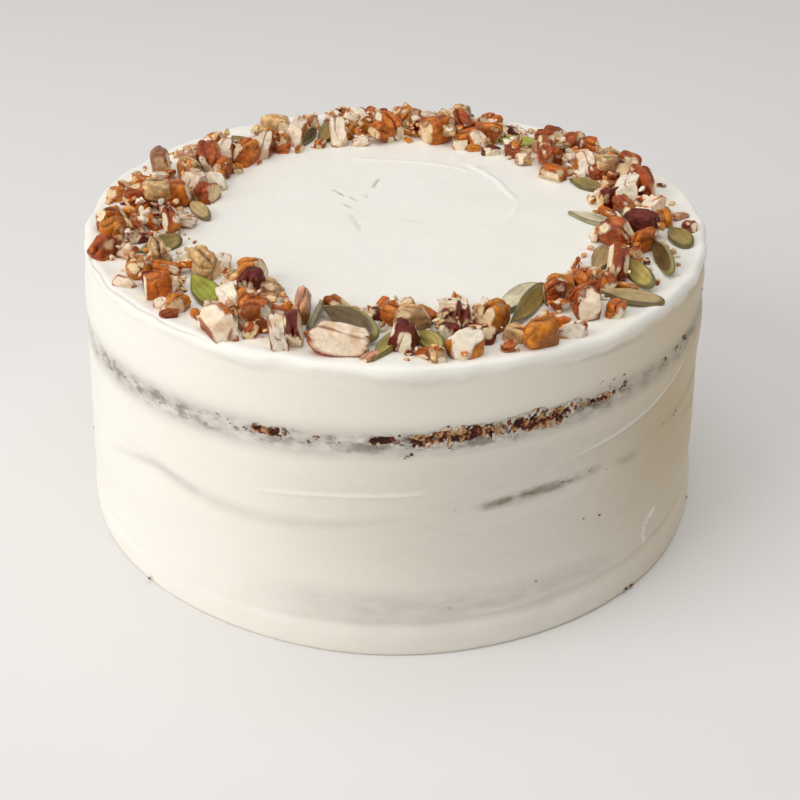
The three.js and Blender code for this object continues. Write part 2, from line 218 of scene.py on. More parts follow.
# Painted shade in the crumb's pits, and also the colour of the darkest loose crumbs.
PIT_TONE = "3C1C14"
CRUMB_TONE = "844626"
GOLD_TONE = "BE9464"
SMEAR_TONE = "D8CEBE"
# A small bit has the first of these tones whose limit is over its draw, or else is maroon.
TONE_LIMITS = {
    "pale": 0.08, "flesh": 0.22, "tan": 0.32, "pink": 0.4, "amber": 0.54, "orange": 0.77, "rust": 0.93,
}

# The camera: where it stands, the ways it looks and has at its right, and its lens.
VIEW_FROM = Vector((0, -283.3, 194.8))
VIEW_AHEAD = Vector((0.0056, 0.8464, -0.5325))
VIEW_RIGHT = Vector((0.9999, 0.0012, 0.0124))
FOCAL_LENGTH = 57.47
FILM_WIDTH = 36
# The point that the lights face, in metres.
CAKE_MIDDLE = Vector((0, 0, 0.04))


# --- Repeatable draws and the unevenness of a hand-spread coat ---

def make_draw(seed):
    """Park-Miller generator, the same as in the solid model: the same seed lays the same wreath."""
    state = seed

    def draw():
        nonlocal state
        state = state * 16807 % 2147483647
        return state / 2147483647

    return draw


def bell(distance, width):
    return np.exp(-((distance / width) ** 2))


def smooth(value, low, high):
    """Rises smoothly from 0 at low to 1 at high."""
    share = np.clip((value - low) / (high - low), 0, 1)
    return share * share * (3 - 2 * share)


def between(one, other):
    """How far apart two angles are."""
    return np.abs((one - other + 540) % 360 - 180)


def around(angle, middle, outer, inner):
    """1 less than an inner angle away from the middle one, falling to 0 at an outer angle away."""
    return smooth(between(angle, middle), outer, inner)


def shares_of(angle, rows):
    """How much of the share of each row there is at an angle."""
    return [share * around(angle, *where) for share, *where in rows]


def part_way(first, last, share):
    return first + (last - first) * share


def sine(angle):
    return np.sin(np.radians(angle))


def unevenness(angle, height):
    """How far the coat stands off a true round, as in the solid model."""
    bulge = BULGE_DEPTH * bell(between(angle, BULGE_ANGLE), BULGE_WIDTH) * (height / TOP_HEIGHT)
    return bulge + 0.22 * sine(3 * angle + 40) + 0.14 * sine(7 * angle + 110)


def upper_band(angle):
    return UPPER_BAND_HEIGHT + UPPER_BAND_SLOPE * sine(angle)


def lower_band(angle):
    dip = LOWER_BAND_DIP * bell(between(angle, DIP_ANGLE), DIP_WIDTH)
    return LOWER_BAND_HEIGHT + LOWER_BAND_SLOPE * sine(angle) - dip


def straight_wall(height):
    share = (height - WALL_LOW_HEIGHT) / (WALL_HIGH_HEIGHT - WALL_LOW_HEIGHT)
    return part_way(WALL_RADIUS_LOW, WALL_RADIUS_HIGH, share)


def place(angle, radius, height):
    turn = np.radians(angle)
    return np.stack([radius * np.sin(turn), -radius * np.cos(turn), height + 0 * angle], axis=-1)


def round_place(points):
    """Angle, radius and height of points."""
    x, y, height = points.T
    return np.degrees(np.arctan2(x, -y)), np.hypot(x, y), height


def any_way(draw):
    """A way in space, each as likely as the others."""
    turn, rise = 2 * math.pi * draw(), 2 * draw() - 1
    level = math.sqrt(1 - rise * rise)
    return np.array((level * math.cos(turn), level * math.sin(turn), rise))


def lumps(points, size, seed):
    """Smooth unevenness, mostly from -1 to 1, with lumps of a size: crossing waves added up."""
    draw = make_draw(1 + round(seed * 7919) % 2147483000)
    total = np.zeros(len(points))
    for _ in range(WAVES):
        way = any_way(draw)
        pitch = 2 * math.pi / size * (0.3 + 0.5 * draw())
        total += np.sin(points @ way * pitch + 2 * math.pi * draw())
    return total * 0.4 / math.sqrt(WAVES / 2)


def ring_lumps(angle, size, seed, radius=24.0):
    """Unevenness round the cake, the same at all heights, with its lumps on a ring of a radius."""
    return lumps(place(angle, radius, 0 * angle), size, seed)


# --- Small tools for meshes ---

def points_of(piece):
    points = np.empty(len(piece.data.vertices) * 3)
    piece.data.vertices.foreach_get("co", points)
    return points.reshape(-1, 3) / MM


def move_points(piece, points):
    piece.data.vertices.foreach_set("co", (points * MM).astype(np.float32).ravel())
    piece.data.update()


def paint(piece, colours):
    """Keeps a linear colour and a fourth value for each vertex in the attribute that the materials read."""
    layer = piece.data.color_attributes.new("tint", "FLOAT_COLOR", "POINT")
    layer.data.foreach_set("color", colours.astype(np.float32).ravel())


def edit_all():
    """Opens the active object for editing, with all of it selected."""
    bpy.ops.object.mode_set(mode="EDIT")
    bpy.ops.mesh.select_all(action="SELECT")


def face_outwards():
    """Turns the active object's faces outwards."""
    edit_all()
    bpy.ops.mesh.normals_make_consistent(inside=False)
    bpy.ops.object.mode_set(mode="OBJECT")


def turned(name, rings, steps):
    """A closed round body: a filled circle, extruded and scaled ring by ring, ending in a point."""
    bpy.ops.object.select_all(action="DESELECT")
    (radius, height), *others = rings
    bpy.ops.mesh.primitive_circle_add(
        vertices=steps, radius=radius * MM, fill_type="NGON", location=(0, 0, height * MM))
    piece = bpy.context.object
    piece.name = name
    bpy.ops.object.transform_apply(location=True, rotation=False, scale=False)
    edit_all()
    for next_radius, next_height in others:
        rise = (0, 0, (next_height - height) * MM)
        bpy.ops.mesh.extrude_region_move(TRANSFORM_OT_translate={"value": rise})
        scale = next_radius / radius
        bpy.ops.transform.resize(value=(scale, scale, 1), center_override=(0, 0, next_height * MM))
        radius, height = next_radius, next_height
    bpy.ops.mesh.merge(type="CENTER")
    bpy.ops.object.mode_set(mode="OBJECT")
    face_outwards()
    bpy.ops.object.shade_smooth()
    return piece


def ball(subdivisions):
    """Mesh of a ball of radius 1 and its points, which every nut, seed and crumb is shaped from."""
    bpy.ops.object.select_all(action="DESELECT")
    bpy.ops.mesh.primitive_ico_sphere_add(subdivisions=subdivisions, radius=1)
    shape = bpy.context.object
    mesh = shape.data
    points = points_of(shape) * MM
    bpy.data.objects.remove(shape)
    return mesh, points


BALLS = {fineness: ball(fineness) for fineness in (1, 2, 3, 4, 5)}


def shaped(fineness, points, colours):
    """A copy of the ball with its points moved and coloured."""
    piece = bpy.data.objects.new("piece", BALLS[fineness][0].copy())
    bpy.context.scene.collection.objects.link(piece)
    move_points(piece, points)
    paint(piece, np.clip(colours, 0, 1))
    return piece


def join(pieces):
    """Joins all the pieces to the first."""
    bpy.ops.object.select_all(action="DESELECT")
    for piece in pieces:
        piece.select_set(True)
    bpy.context.view_layer.objects.active = pieces[0]
    bpy.ops.object.join()
    return pieces[0]


def joined(name, pieces, material, crease_angle):
    """One object of many pieces, shaded smooth up to an angle."""
    whole = join(pieces)
    whole.name = name
    whole.data.materials.clear()
    whole.data.materials.append(material)
    bpy.ops.object.shade_smooth_by_angle(angle=math.radians(crease_angle))
    return whole


# --- Colours and materials ---

def linear(code):
    """Linear colour from an sRGB hex code, and a fourth value of 1."""
    values = [int(code[i:i + 2], 16) / 255 for i in (0, 2, 4)]
    return np.array([*[v / 12.92 if v <= 0.04045 else ((v + 0.055) / 1.055) ** 2.4 for v in values], 1.0])


def blend(one, other, share):
    """Colours a share of the way from one to the other, point by point."""
    return one + (other - one) * share[:, None]


def link(tree, node, links):
    """Links a node's inputs to sockets, or to the output in use of other nodes."""
    for key, source in links.items():
        if isinstance(source, bpy.types.Node):
            source = next(socket for socket in source.outputs if socket.enabled)
        tree.links.new(source, node.inputs[key])


def add(tree, kind, settings, links):
    """Adds a node, sets its properties and inputs by name or number, and links inputs. A mix has its share
    in input 0, its numbers in 2 and 3 and its colours in 6 and 7; a sum multiplies 0 by 1 and adds 2."""
    node = tree.nodes.new("ShaderNode" + kind)
    for key, value in settings.items():
        if isinstance(key, int) or key in node.inputs:
            node.inputs[key].default_value = value
        else:
            setattr(node, key, value)
    link(tree, node, links)
    return node


# Settings that many nodes share: the range of a noise that is spread out, and two mixes of colours.
NOISE_SPAN = {"From Min": 0.3, "From Max": 0.7}
COLOURS = {"data_type": "RGBA"}
MULTIPLIED = {"data_type": "RGBA", "blend_type": "MULTIPLY"}


def new_material(name, finish):
    """A node material with its shader's even settings, and the surface's own coordinates."""
    material = bpy.data.materials.new(name)
    material.use_nodes = True
    tree = material.node_tree
    shader = tree.nodes["Principled BSDF"]
    for key, value in finish.items():
        shader.inputs[key].default_value = value
    where = add(tree, "TexCoord", {}, {}).outputs["Object"]
    return material, tree, shader, where


def cream_cheese_frosting():
    """Cream-cheese frosting, spread thin and scraped: ivory, soft, a little shiny, light passes into it.
    The tint's red value is how thin the coat is: there the dark crumb greys it and shows as specks. Its
    green value is painted shade, a warm darkening strongest at the right side, its blue value where only a
    film is left, and its fourth value a painted highlight along the crests of the ridges."""
    material, tree, shader, where = new_material("cream_cheese_frosting", {
        "Roughness": 0.38, "IOR": 1.45, "Subsurface Weight": 0.12, "Subsurface Radius": (1.0, 0.9, 0.75),
        "Subsurface Scale": 0.8 * MM})
    tint = add(tree, "Attribute", {"attribute_name": "tint"}, {})
    parts = add(tree, "SeparateColor", {}, {"Color": tint})
    thin, side_shade, film = (parts.outputs[name] for name in ("Red", "Green", "Blue"))

    # Cloudy warmth of the coat, about 30 mm across.
    cloud = add(tree, "TexNoise", {"Scale": 1 / (30 * MM), "Detail": 2.0}, {"Vector": where})
    ivory = add(tree, "Mix", {**COLOURS, 6: linear("FBF8F1"), 7: linear("F9F5EA")}, {0: cloud})

    # Grey veil over crumb, where it is strong broken up by streaks drawn out along the wall.
    drawn_out = add(tree, "Mapping", {"Scale": (1, 1, 2.2)}, {"Vector": where})
    streak = add(tree, "TexNoise", {"Scale": 1 / (4.6 * MM), "Detail": 3.0, "Roughness": 0.6},
                 {"Vector": drawn_out})
    streaks = add(tree, "MapRange", {**NOISE_SPAN, "To Min": 0.4, "To Max": 1.35}, {"Value": streak})
    strong = add(tree, "MapRange", {"From Min": 0.28, "From Max": 0.6, "To Min": 0.25}, {"Value": thin})
    broken = add(tree, "Mix", {2: 1.0}, {0: strong, 3: streaks})
    veil_share = add(tree, "Math", {"operation": "MULTIPLY", "use_clamp": True}, {0: thin, 1: broken})
    veiled = add(tree, "Mix", {**COLOURS, 7: linear("ABA6A0")}, {0: veil_share, 6: ivory})

    # Soft grey blotches, 3 mm, and dark specks of crumb, 0.9 mm, where the coat is thin.
    blotch = add(tree, "TexNoise", {"Scale": 1 / (3 * MM), "Detail": 2.5}, {"Vector": where})
    blotchy = add(tree, "Math", {"operation": "MULTIPLY_ADD", 1: 0.6}, {0: veil_share, 2: blotch})
    blotches = add(tree, "MapRange", {"From Min": 0.9, "From Max": 1.14, "To Max": 0.7}, {"Value": blotchy})
    greyed = add(tree, "Mix", {**COLOURS, 7: linear("88827C")}, {0: blotches, 6: veiled})
    speck = add(tree, "TexNoise", {"Scale": 1 / (0.9 * MM), "Detail": 2.0, "Roughness": 0.6},
                {"Vector": where})
    specked = add(tree, "Math", {"operation": "MULTIPLY_ADD", 1: 0.3}, {0: veil_share, 2: speck})
    specks = add(tree, "MapRange", {"From Min": 0.86, "From Max": 0.98, "To Max": 0.7}, {"Value": specked})
    spotted = add(tree, "Mix", {**COLOURS, 7: linear("70645C")}, {0: specks, 6: greyed})

    # The brown film, painted shade that darkens and warms the right side, and painted highlights along the
    # ridges over it all.
    filmed = add(tree, "Math", {"operation": "MULTIPLY", "use_clamp": True}, {0: film, 1: broken})
    browned = add(tree, "Mix", {**COLOURS, 7: linear("857B66")}, {0: filmed, 6: spotted})
    side_shaded = add(tree, "Mix", {**MULTIPLIED, 7: linear("DAC6A0")}, {0: side_shade, 6: browned})
    highlighted = add(tree, "Mix", {**COLOURS, 7: linear("FDFAF2")}, {0: tint.outputs["Alpha"], 6: side_shaded})

    # Scraper drag and tiny pores, 2 mm and 0.5 mm.
    drag = add(tree, "TexNoise", {"Scale": 1 / (2 * MM), "Detail": 3.0}, {"Vector": drawn_out})
    pores = add(tree, "TexNoise", {"Scale": 1 / (0.5 * MM), "Detail": 1.0}, {"Vector": where})
    height = add(tree, "Math", {"operation": "MULTIPLY_ADD", 1: 0.25}, {0: pores, 2: drag})
    bump = add(tree, "Bump", {"Strength": 0.4, "Distance": 0.15 * MM}, {"Height": height})
    link(tree, shader, {"Base Color": highlighted, "Normal": bump})
    return material


def grained(tree, shader, where, noise, shades, share, relief):
    """Shades the tint by one fine noise, from a low to a high share of it, and roughens the surface by the
    same noise, by a strength and a depth. Gives back the tint and the shaded colour."""
    tint = add(tree, "Attribute", {"attribute_name": "tint"}, {})
    grain = add(tree, "TexNoise", noise, {"Vector": where})
    shade = add(tree, "MapRange", {**NOISE_SPAN, "To Min": shades[0], "To Max": shades[1]}, {"Value": grain})
    shaded = add(tree, "Mix", {**MULTIPLIED, 0: share}, {6: tint, 7: shade})
    bump = add(tree, "Bump", {"Strength": relief[0], "Distance": relief[1] * MM}, {"Height": grain})
    link(tree, shader, {"Base Color": shaded, "Normal": bump})
    return tint, shaded


def carrot_sponge():
    """Baked carrot sponge: open matt crumb, its tint from pits darkened with painted shade to golden edges,
    its grain 0.6 mm.
    """
    material, tree, shader, where = new_material("carrot_sponge", {"Roughness": 0.85, "IOR": 1.4})
    noise = {"Scale": 1 / (0.6 * MM), "Detail": 3.0, "Roughness": 0.7}
    grained(tree, shader, where, noise, (0.55, 1.35), 1.0, (0.8, 0.3))
    return material


def pecan_kernel():
    """Chopped pecan, its fibre 1.1 mm: the tint is the skin or the broken flesh, and its fourth value how
    much is skin, which is mottled, papery and slightly shiny, while the flesh is even, waxy and dull."""
    material, tree, shader, where = new_material("pecan_kernel", {
        "IOR": 1.46, "Specular IOR Level": 0.35, "Subsurface Weight": 0.2,
        "Subsurface Radius": (1.0, 0.6, 0.3), "Subsurface Scale": 1 * MM})
    noise = {"Scale": 1 / (1.1 * MM), "Detail": 4.0, "Roughness": 0.6}
    tint, mottled = grained(tree, shader, where, noise, (0.62, 1.48), 1.0, (0.8, 0.4))
    skin = tint.outputs["Alpha"]
    mottle = add(tree, "MapRange", {"To Min": 0.4, "To Max": 0.9}, {"Value": skin})
    rough = add(tree, "MapRange", {"To Min": 0.55, "To Max": 0.3}, {"Value": skin})
    link(tree, mottled, {0: mottle})
    link(tree, shader, {"Roughness": rough})
    return material


def pumpkin_kernel():
    """Hulled pumpkin seed: a thin green skin with a satin shine over a pale body, mottled every 1.6 mm."""
    material, tree, shader, where = new_material("pumpkin_kernel", {
        "Roughness": 0.34, "IOR": 1.46, "Subsurface Weight": 0.1, "Subsurface Radius": (0.7, 1.0, 0.3),
        "Subsurface Scale": 1 * MM})
    noise = {"Scale": 1 / (1.6 * MM), "Detail": 3.0}
    grained(tree, shader, where, noise, (0.82, 1.15), 0.8, (0.4, 0.12))
    return material


# --- Frosting coat ---

def along_curve(points, stops):
    """How far flat points lie from a drawn line, and their share of the way along it."""
    stops = np.array(stops, float)
    best = np.full(len(points), 1e9)
    share = np.zeros(len(points))
    for i, (start, end) in enumerate(zip(stops, stops[1:])):
        way = end - start
        t = np.clip((points - start) @ way / (way @ way), 0, 1)
        gap = np.hypot(*(points - start - t[:, None] * way).T)
        share = np.where(gap < best, (i + t) / (len(stops) - 1), share)
        best = np.minimum(best, gap)
    return best, share


def faded(share, first, last):
    """1 along a line, falling to 0 over a first and a last share of it."""
    return smooth(share, 0, first) * smooth(1 - share, 0, last)


# Fine ridges that the spatula left on the top: half width, height and the line they follow.
TOP_RIDGES = [
    (0.5, 0.3, [(-13, 35.4), (-7, 35.5), (0, 34.8), (8, 33.4), (15.5, 30.5), (20, 27)]),
    (0.55, 0.42, [(13.9, 42.9), (16, 37), (19.2, 31.8), (23, 27), (25.8, 21.5), (27.8, 14.5), (29.8, 7.7)]),
    (0.5, 0.26, [(29.8, 7.7), (28.2, 1.5), (25.4, -4), (20, -9.6)]),
]
# Thin scuffs where the top tore a little: depth and the line they follow.
SCUFF_WIDTH = 0.45
SCUFF_DEPTH = 0.2
TOP_SCUFFS = [
    (0.9, [(-15.6, 15.2), (-14.2, 13.6), (-12.4, 11.2)]), (0.7, [(-11.6, 11.4), (-9.4, 8.9), (-7.4, 8.8)]),
    (0.8, [(-12.8, 6.9), (-10.6, 4.3), (-8.4, 1.1)]), (0.6, [(-7.9, 14.5), (-6.7, 10.4)]),
    (1.0, [(-3.9, 23.2), (-5, 20.2), (-5.6, 16.5)]), (0.7, [(-10.7, 0.4), (-9.6, -4.5), (-7.6, -11)]),
    (0.35, [(-33.6, 8.7), (-31, 9.2), (-28.3, 9.4)]), (0.3, [(-38.8, 5.9), (-37, 6)]),
    (0.3, [(0.6, -1.2), (2.8, -2.5), (6.6, -3.8)]),
]
# The share of a line on the top over which it fades out at each end.
LINE_FADE = 0.12


def line_share(points, width, line):
    """From 0 to 1 along a drawn line on the top that fades out at both ends."""
    gap, share = along_curve(points[:, :2], line)
    return bell(gap, width) * faded(share, LINE_FADE, LINE_FADE)


def top_ridges(points):
    return sum(height * line_share(points, width, line) for width, height, line in TOP_RIDGES)


def top_scuffs(points):
    """How deep the scuffs are, from 0 to 1, broken up along their length."""
    torn = smooth(lumps(points, 3, 31), -0.5, 0.1)
    return torn * sum(depth * line_share(points, SCUFF_WIDTH, line) for depth, line in TOP_SCUFFS)


def top_relief(points):
    """Height of the spatula's marks on the top."""
    flat = points * (1, 1, 0)
    relief = 0.16 * lumps(flat, 14, 1) + 0.05 * lumps(flat, 4, 2)
    return relief + top_ridges(points) - SCUFF_DEPTH * top_scuffs(points)


# The ridge that climbs to the right: angle and height of its points. Below it the coat is darkened with
# painted shade.
CLIMBING_RIDGE = [(26, 43.1), (35, 44.7), (42, 45.9), (49, 47.5), (55, 49.3), (63, 52.4)]
# Ridges that the scraper left on the wall: half width, how far they stand out, how strong the painted
# highlight on their crest is, and the angle and height of their points.
WALL_RIDGES = [
    (0.3, 0.5, 0.75, CLIMBING_RIDGE),
    (0.34, 0.45, 0.75, [(-25, 37.5), (-17, 39.1), (-11, 40.1), (-3, 40.9), (8, 41.8)]),
    (0.5, 0.85, 1.0, [(50.6, 8.6), (48.9, 10.6), (48.4, 12.6), (48.8, 14.8), (50.2, 16.6), (53.4, 18.6)]),
    (0.4, 0.4, 0.3, [(2, 9.0), (12, 9.6), (20, 10.2), (30, 10.8), (42, 11.0), (54, 10.8)]),
    (1.5, 0.15, 0, [(-40, 46.5), (-4, 43)]), (0.8, 0.2, 0.1, [(8, 31.5), (26, 33.5), (44, 38)]),
    (0.6, 0.4, 0.3, [(66, 60), (120, 62)]), (0.6, 0.6, 0.4, [(100, 30), (140, 28), (170, 24)]),
    (0.6, 0.6, 0.4, [(-175, 44), (-150, 45), (-120, 49)]), (0.7, 0.4, 0.3, [(-100, 26), (-60, 29)]),
]
# A grey smear below the upper band at the left: angle and height of its points.
SMEAR_LINE = [(-67, 23), (-56, 29.4), (-49, 32.3), (-43, 34.1), (-36.5, 32.8), (-31, 31.6)]


def along_wall(angle, height, line):
    """How far points of the wall lie from a line of angles and heights, and their share of it."""
    arc_per_degree = math.radians(WALL_RADIUS_HIGH)
    on_wall = np.stack([angle * arc_per_degree, height], axis=-1)
    return along_curve(on_wall, np.array(line, float) * (arc_per_degree, 1))


def wall_ridges(angle, height):
    """How far the ridges stand out, and from 0 to 1 the painted highlight along their crests."""
    relief, crest_highlight = 0 * height, 0 * height
    for width, depth, highlight_strength, line in WALL_RIDGES:
        gap, share = along_wall(angle, height, line)
        fade = faded(share, 0.25, 0.15)
        relief = relief + fade * depth * (bell(gap, width) - 0.25 * bell(gap, 3 * width))
        crest_highlight = np.maximum(crest_highlight, fade * highlight_strength * bell(gap, width))
    return relief, crest_highlight


def lower_band_share(angle):
    """0 where the lower band dies out at the left, 1 well away from there."""
    return smooth(between(angle, -75), 15, 50)


def wall_relief(angle, height):
    """How far the scraper's streaks and ridges stand off the smooth wall."""
    wide = place(angle, 9.0, height * 0.5)
    fine = place(angle, 24.0, height * 1.2)
    relief = 0.3 * lumps(wide, 4, 3) + 0.06 * lumps(fine, 3.4, 4) + wall_ridges(angle, height)[0]
    relief -= (0.2 + 0.15 * lumps(wide, 5, 8)) * bell(height - upper_band(angle), BAND_SPREAD)
    groove = (0.08 + 0.08 * lumps(wide, 5, 9)) * lower_band_share(angle)
    return relief - groove * bell(height - lower_band(angle), LOWER_BAND_SPREAD)


def lip_share(angle, height):
    """From 0 to 1 over the soft lip that the scraper left along the rim, its foot wavy."""
    foot_of_lip = TOP_HEIGHT - LIP_HEIGHT + 0.5 * around(angle, -80, 110, 60)
    foot_of_lip += 0.8 * ring_lumps(angle, 3, 12) + 0.5 * ring_lumps(angle, 1.2, 16)
    return smooth(height, foot_of_lip - 0.6, foot_of_lip + 0.4)


def rim_lip(angle, height):
    """How far the lip stands out, over a wall that draws in a little below it."""
    proud = LIP_DEPTH * np.clip(0.6 + 0.9 * ring_lumps(angle, 2.4, 13), 0, 1.5)
    return proud * lip_share(angle, height) - 0.3 * smooth(height, 58, WALL_HIGH_HEIGHT)


def patch_share(angle, height):
    """1 in the middle of a bare patch, 0 on its edge and below 0 outside it."""
    best = np.full(np.shape(angle), -1.0)
    for patches, band in ((UPPER_PATCHES, upper_band), (LOWER_PATCHES, lower_band)):
        for start, end, half in patches:
            middle, reach = (start + end) / 2, (end - start) / 2
            along = between(angle, middle) / reach
            across = np.abs(height - band(angle)) / half
            best = np.maximum(best, 1 - np.hypot(along ** 3, across))
    return best


def raggedness(angle, height):
    """How the edge of a bare patch wanders."""
    spot = place(angle, WALL_RADIUS_HIGH, height)
    return 0.5 * lumps(spot, 2.4, 14) + 0.25 * lumps(spot, 0.9, 15) + 0.1


def dent(angle, height):
    """How far the coat is scraped away over a bare patch, with a ragged edge."""
    return DENT_DEPTH * smooth(patch_share(angle, height) + raggedness(angle, height), -0.1, 0.2)


# Where the coat is thin on both bands and low on the wall, where only a film is left, and where the step
# over the foot is smoothed away. Each row: share, middle angle, how far from it the share has ended, and
# how far from it the share is whole.
UPPER_THIN = [(0.82, -34, 52, 22), (0.9, 18, 44, 20), (0.75, 58, 26, 10)]
LOWER_THIN = [(0.65, 25, 17, 8)]
LOW_THIN = [(0.42, 14, 44, 14), (0.26, 28, 58, 18), (0.4, 72, 18, 3)]
FILM_SPOTS = [(0.7, 17, 3.2, 1.6), (1.0, 24.8, 5, 3.4)]
FOOT_FILLED = [(0.25, 0, 60, 40), (0.65, -62, 60, 25)]


def veil(angle, height):
    """How thin the coat is, from 0 to 1: along both bands, in the smear at the left, faintly low at the
    front and at the right, and round every bare patch."""
    wander = 0.5 + 0.5 * ring_lumps(angle, 6, 5, 20.0)
    strength = np.maximum.reduce([*shares_of(angle, UPPER_THIN), 0.2 + 0.6 * wander])
    upper = strength * bell(height - upper_band(angle) + 0.9, 3.2)
    strength = np.maximum.reduce([*shares_of(angle, LOWER_THIN), 0.15 + 0.3 * wander])
    lower = strength * bell(height - lower_band(angle), LOWER_BAND_SPREAD) * lower_band_share(angle)
    gap, share = along_wall(angle, height, SMEAR_LINE)
    smear = 0.5 * bell(gap, 1.2) * faded(share, 0.75, 0.12)
    low_front, faint, far_right = shares_of(angle, LOW_THIN)
    low_front = low_front * bell(height - 13, 6)
    faint = faint * bell(height - 28, 27) + 0.14 * bell(between(angle, 22), 26) * bell(height - 45, 6)
    streaked = smooth(lumps(place(angle, 30.0, height * 1.3), 5, 23), -0.3, 0.5)
    far_right = far_right * bell(height - 31, 8) * streaked
    bare = 0.8 * smooth(patch_share(angle, height), -0.7, 0.1)
    return np.clip(np.maximum.reduce([upper, lower, smear, low_front, faint, far_right, bare]), 0, 1)


def film(angle, height):
    """Where only a brownish film is left over the crumb of the lower band: two spots and a trail."""
    trail = 0.4 * smooth(angle, 26, 31) * smooth(angle, 64, 50)
    trail = trail * smooth(ring_lumps(angle, 2.6, 22, 30.0), -0.5, 0.4)
    wander = 0.5 * ring_lumps(angle, 4, 21, 30.0) - 1.4 * bell(angle - 45, 8)
    strength = np.maximum.reduce([*shares_of(angle, FILM_SPOTS), trail])
    return strength * bell(height - lower_band(angle) - wander, 0.95)


def painted_side_shade(angle, height):
    """Painted shade: a warm darkening of the wall, strongest at the right side, which the window light
    leaves in shade, with a painted shadow under the climbing ridge; less of it on the lip and none on the
    top.
    """
    side = 0.16 + 0.74 * around(angle, 80, 64, 4)
    angles, heights = np.array(CLIMBING_RIDGE).T
    below = smooth(np.interp(angle, angles, heights) - height, -0.2, 1.2)
    # Painted shadow under the ridge that climbs to the right.
    side += 0.22 * smooth(angle, 30, 55) * smooth(angle, 150, 105) * below
    side *= around(angle, 100, 150, 100) * (0.55 + 0.55 * smooth(height, 2, 45))
    on_wall = 1 - smooth(height, TOP_HEIGHT - 1.5, TOP_HEIGHT - 0.2)
    return np.clip(side * on_wall * (1 - 0.6 * lip_share(angle, height)), 0, 1)


# Profile of the foot: height and how far it lies in from the widest part.
FOOT_PROFILE = [
    (0, 0.6), (0.7, 0.1), (1.6, 0), (3.0, 0), (4.4, 0.1), (5.6, 0.3), (6.5, 0.6), (7.2, 1.0), (7.7, 1.5),
    (8.2, 1.7), (8.7, 1.6), (9.2, 1.4), (9.8, 1.2),
]
# Profile of the rim: how far it lies in from the wall and its height over the top.
RIM_PROFILE = [
    (0.05, -3.3), (0.05, -2.6), (0.05, -1.9), (0.15, -1.2), (0.3, -0.7), (0.5, -0.3), (0.7, 0), (0.95, 0.25),
    (1.3, 0.45), (1.8, 0.55), (2.5, 0.5), (3.4, 0.3), (4.6, 0.12), (6.4, 0),
]
# Radii of the rings of the top, closest together where the spatula's marks are.
TOP_RADII = [*np.arange(65, 46, -2.4), *np.arange(45, 38, -1.4), *np.arange(37, 27, -0.62),
             *np.arange(26.6, 5, -0.75), 4, 2.5, 1]
# Heights of the wall's rings, closest together from the lower band to the upper one.
WALL_RING_HEIGHTS = [*np.arange(10.4, 20, 0.5), *np.arange(20.2, 36.4, 0.9), *np.arange(36.7, 59, 0.4),
                     *np.linspace(59.4, TOP_HEIGHT - 3.8, 17)]


def coat_rings():
    """Radius and height of each ring, from the middle of the hollow down its wall, out under the
    foot, up the wall, over the rim and in to the middle of the top."""
    hollow = SPONGE_HEIGHT + CLEARANCE
    inner_low = SPONGE_RADIUS_LOW + CLEARANCE
    inner_high = SPONGE_RADIUS_HIGH + CLEARANCE
    edge = straight_wall(TOP_HEIGHT)
    return [
        (20, hollow), (inner_high - SPONGE_EDGE, hollow), (inner_high, hollow - SPONGE_EDGE), (inner_low, 0),
        *((FOOT_RADIUS - inset, height) for height, inset in FOOT_PROFILE),
        *((straight_wall(height), height) for height in WALL_RING_HEIGHTS),
        *((edge - inset, TOP_HEIGHT + rise) for inset, rise in RIM_PROFILE),
        *((radius, TOP_HEIGHT) for radius in TOP_RADII),
    ]


def rim_crease(angle, height):
    """The fine crease along the rim at the left of the front, where the wall's frosting folds over."""
    return around(angle, -52, 26, 14) * bell(height - TOP_HEIGHT - 0.02, 0.22)


def foot_filled(angle):
    """How far the step over the foot is smoothed away: almost wholly at the left of the front."""
    return sum(shares_of(angle, FOOT_FILLED))


def spread(points):
    """Moves the true round coat to its hand-spread shape: uneven round, wavy rim, scraped wall."""
    angle, radius, height = round_place(points)
    outside = (height > SPONGE_HEIGHT + 1) | (radius > straight_wall(height) - 1.95)
    on_wall = outside * smooth(height, 8, 12) * smooth(TOP_HEIGHT - height, 0.2, 4)
    on_foot = outside * bell(height - CREASE_HEIGHT, 4) * (height > 2)
    on_top = outside * smooth(height, TOP_HEIGHT - 2, TOP_HEIGHT) * smooth(68 - radius, -3, 3)
    on_rim = outside * smooth(height, TOP_HEIGHT - 3, TOP_HEIGHT) * smooth(radius, 60, 68)
    sway = 0.55 * ring_lumps(angle, 3.2, 6) + 0.45 * ring_lumps(angle, 1.5, 7)
    share = np.clip(radius / WALL_RADIUS_HIGH, 0, 1)
    out = unevenness(angle, height) * share
    out += on_wall * (wall_relief(angle, height) - dent(angle, height))
    out += outside * smooth(radius, 66, 71) * rim_lip(angle, height) + on_rim * 0.6 * sway
    out += on_foot * 0.35 * ring_lumps(angle, 2.5, 15) - 0.35 * outside * rim_crease(angle, height)
    out += outside * (height > 0.5) * (height < 10.2) * foot_filled(angle) * (straight_wall(height) - radius)
    moved = place(angle, radius + out, height)
    moved[:, 2] += on_foot * CREASE_SWAY * sine(angle - 10)
    moved[:, 2] += on_top * top_relief(points) + on_rim * 0.8 * sway * smooth(69 - radius, -4, 0)
    return moved


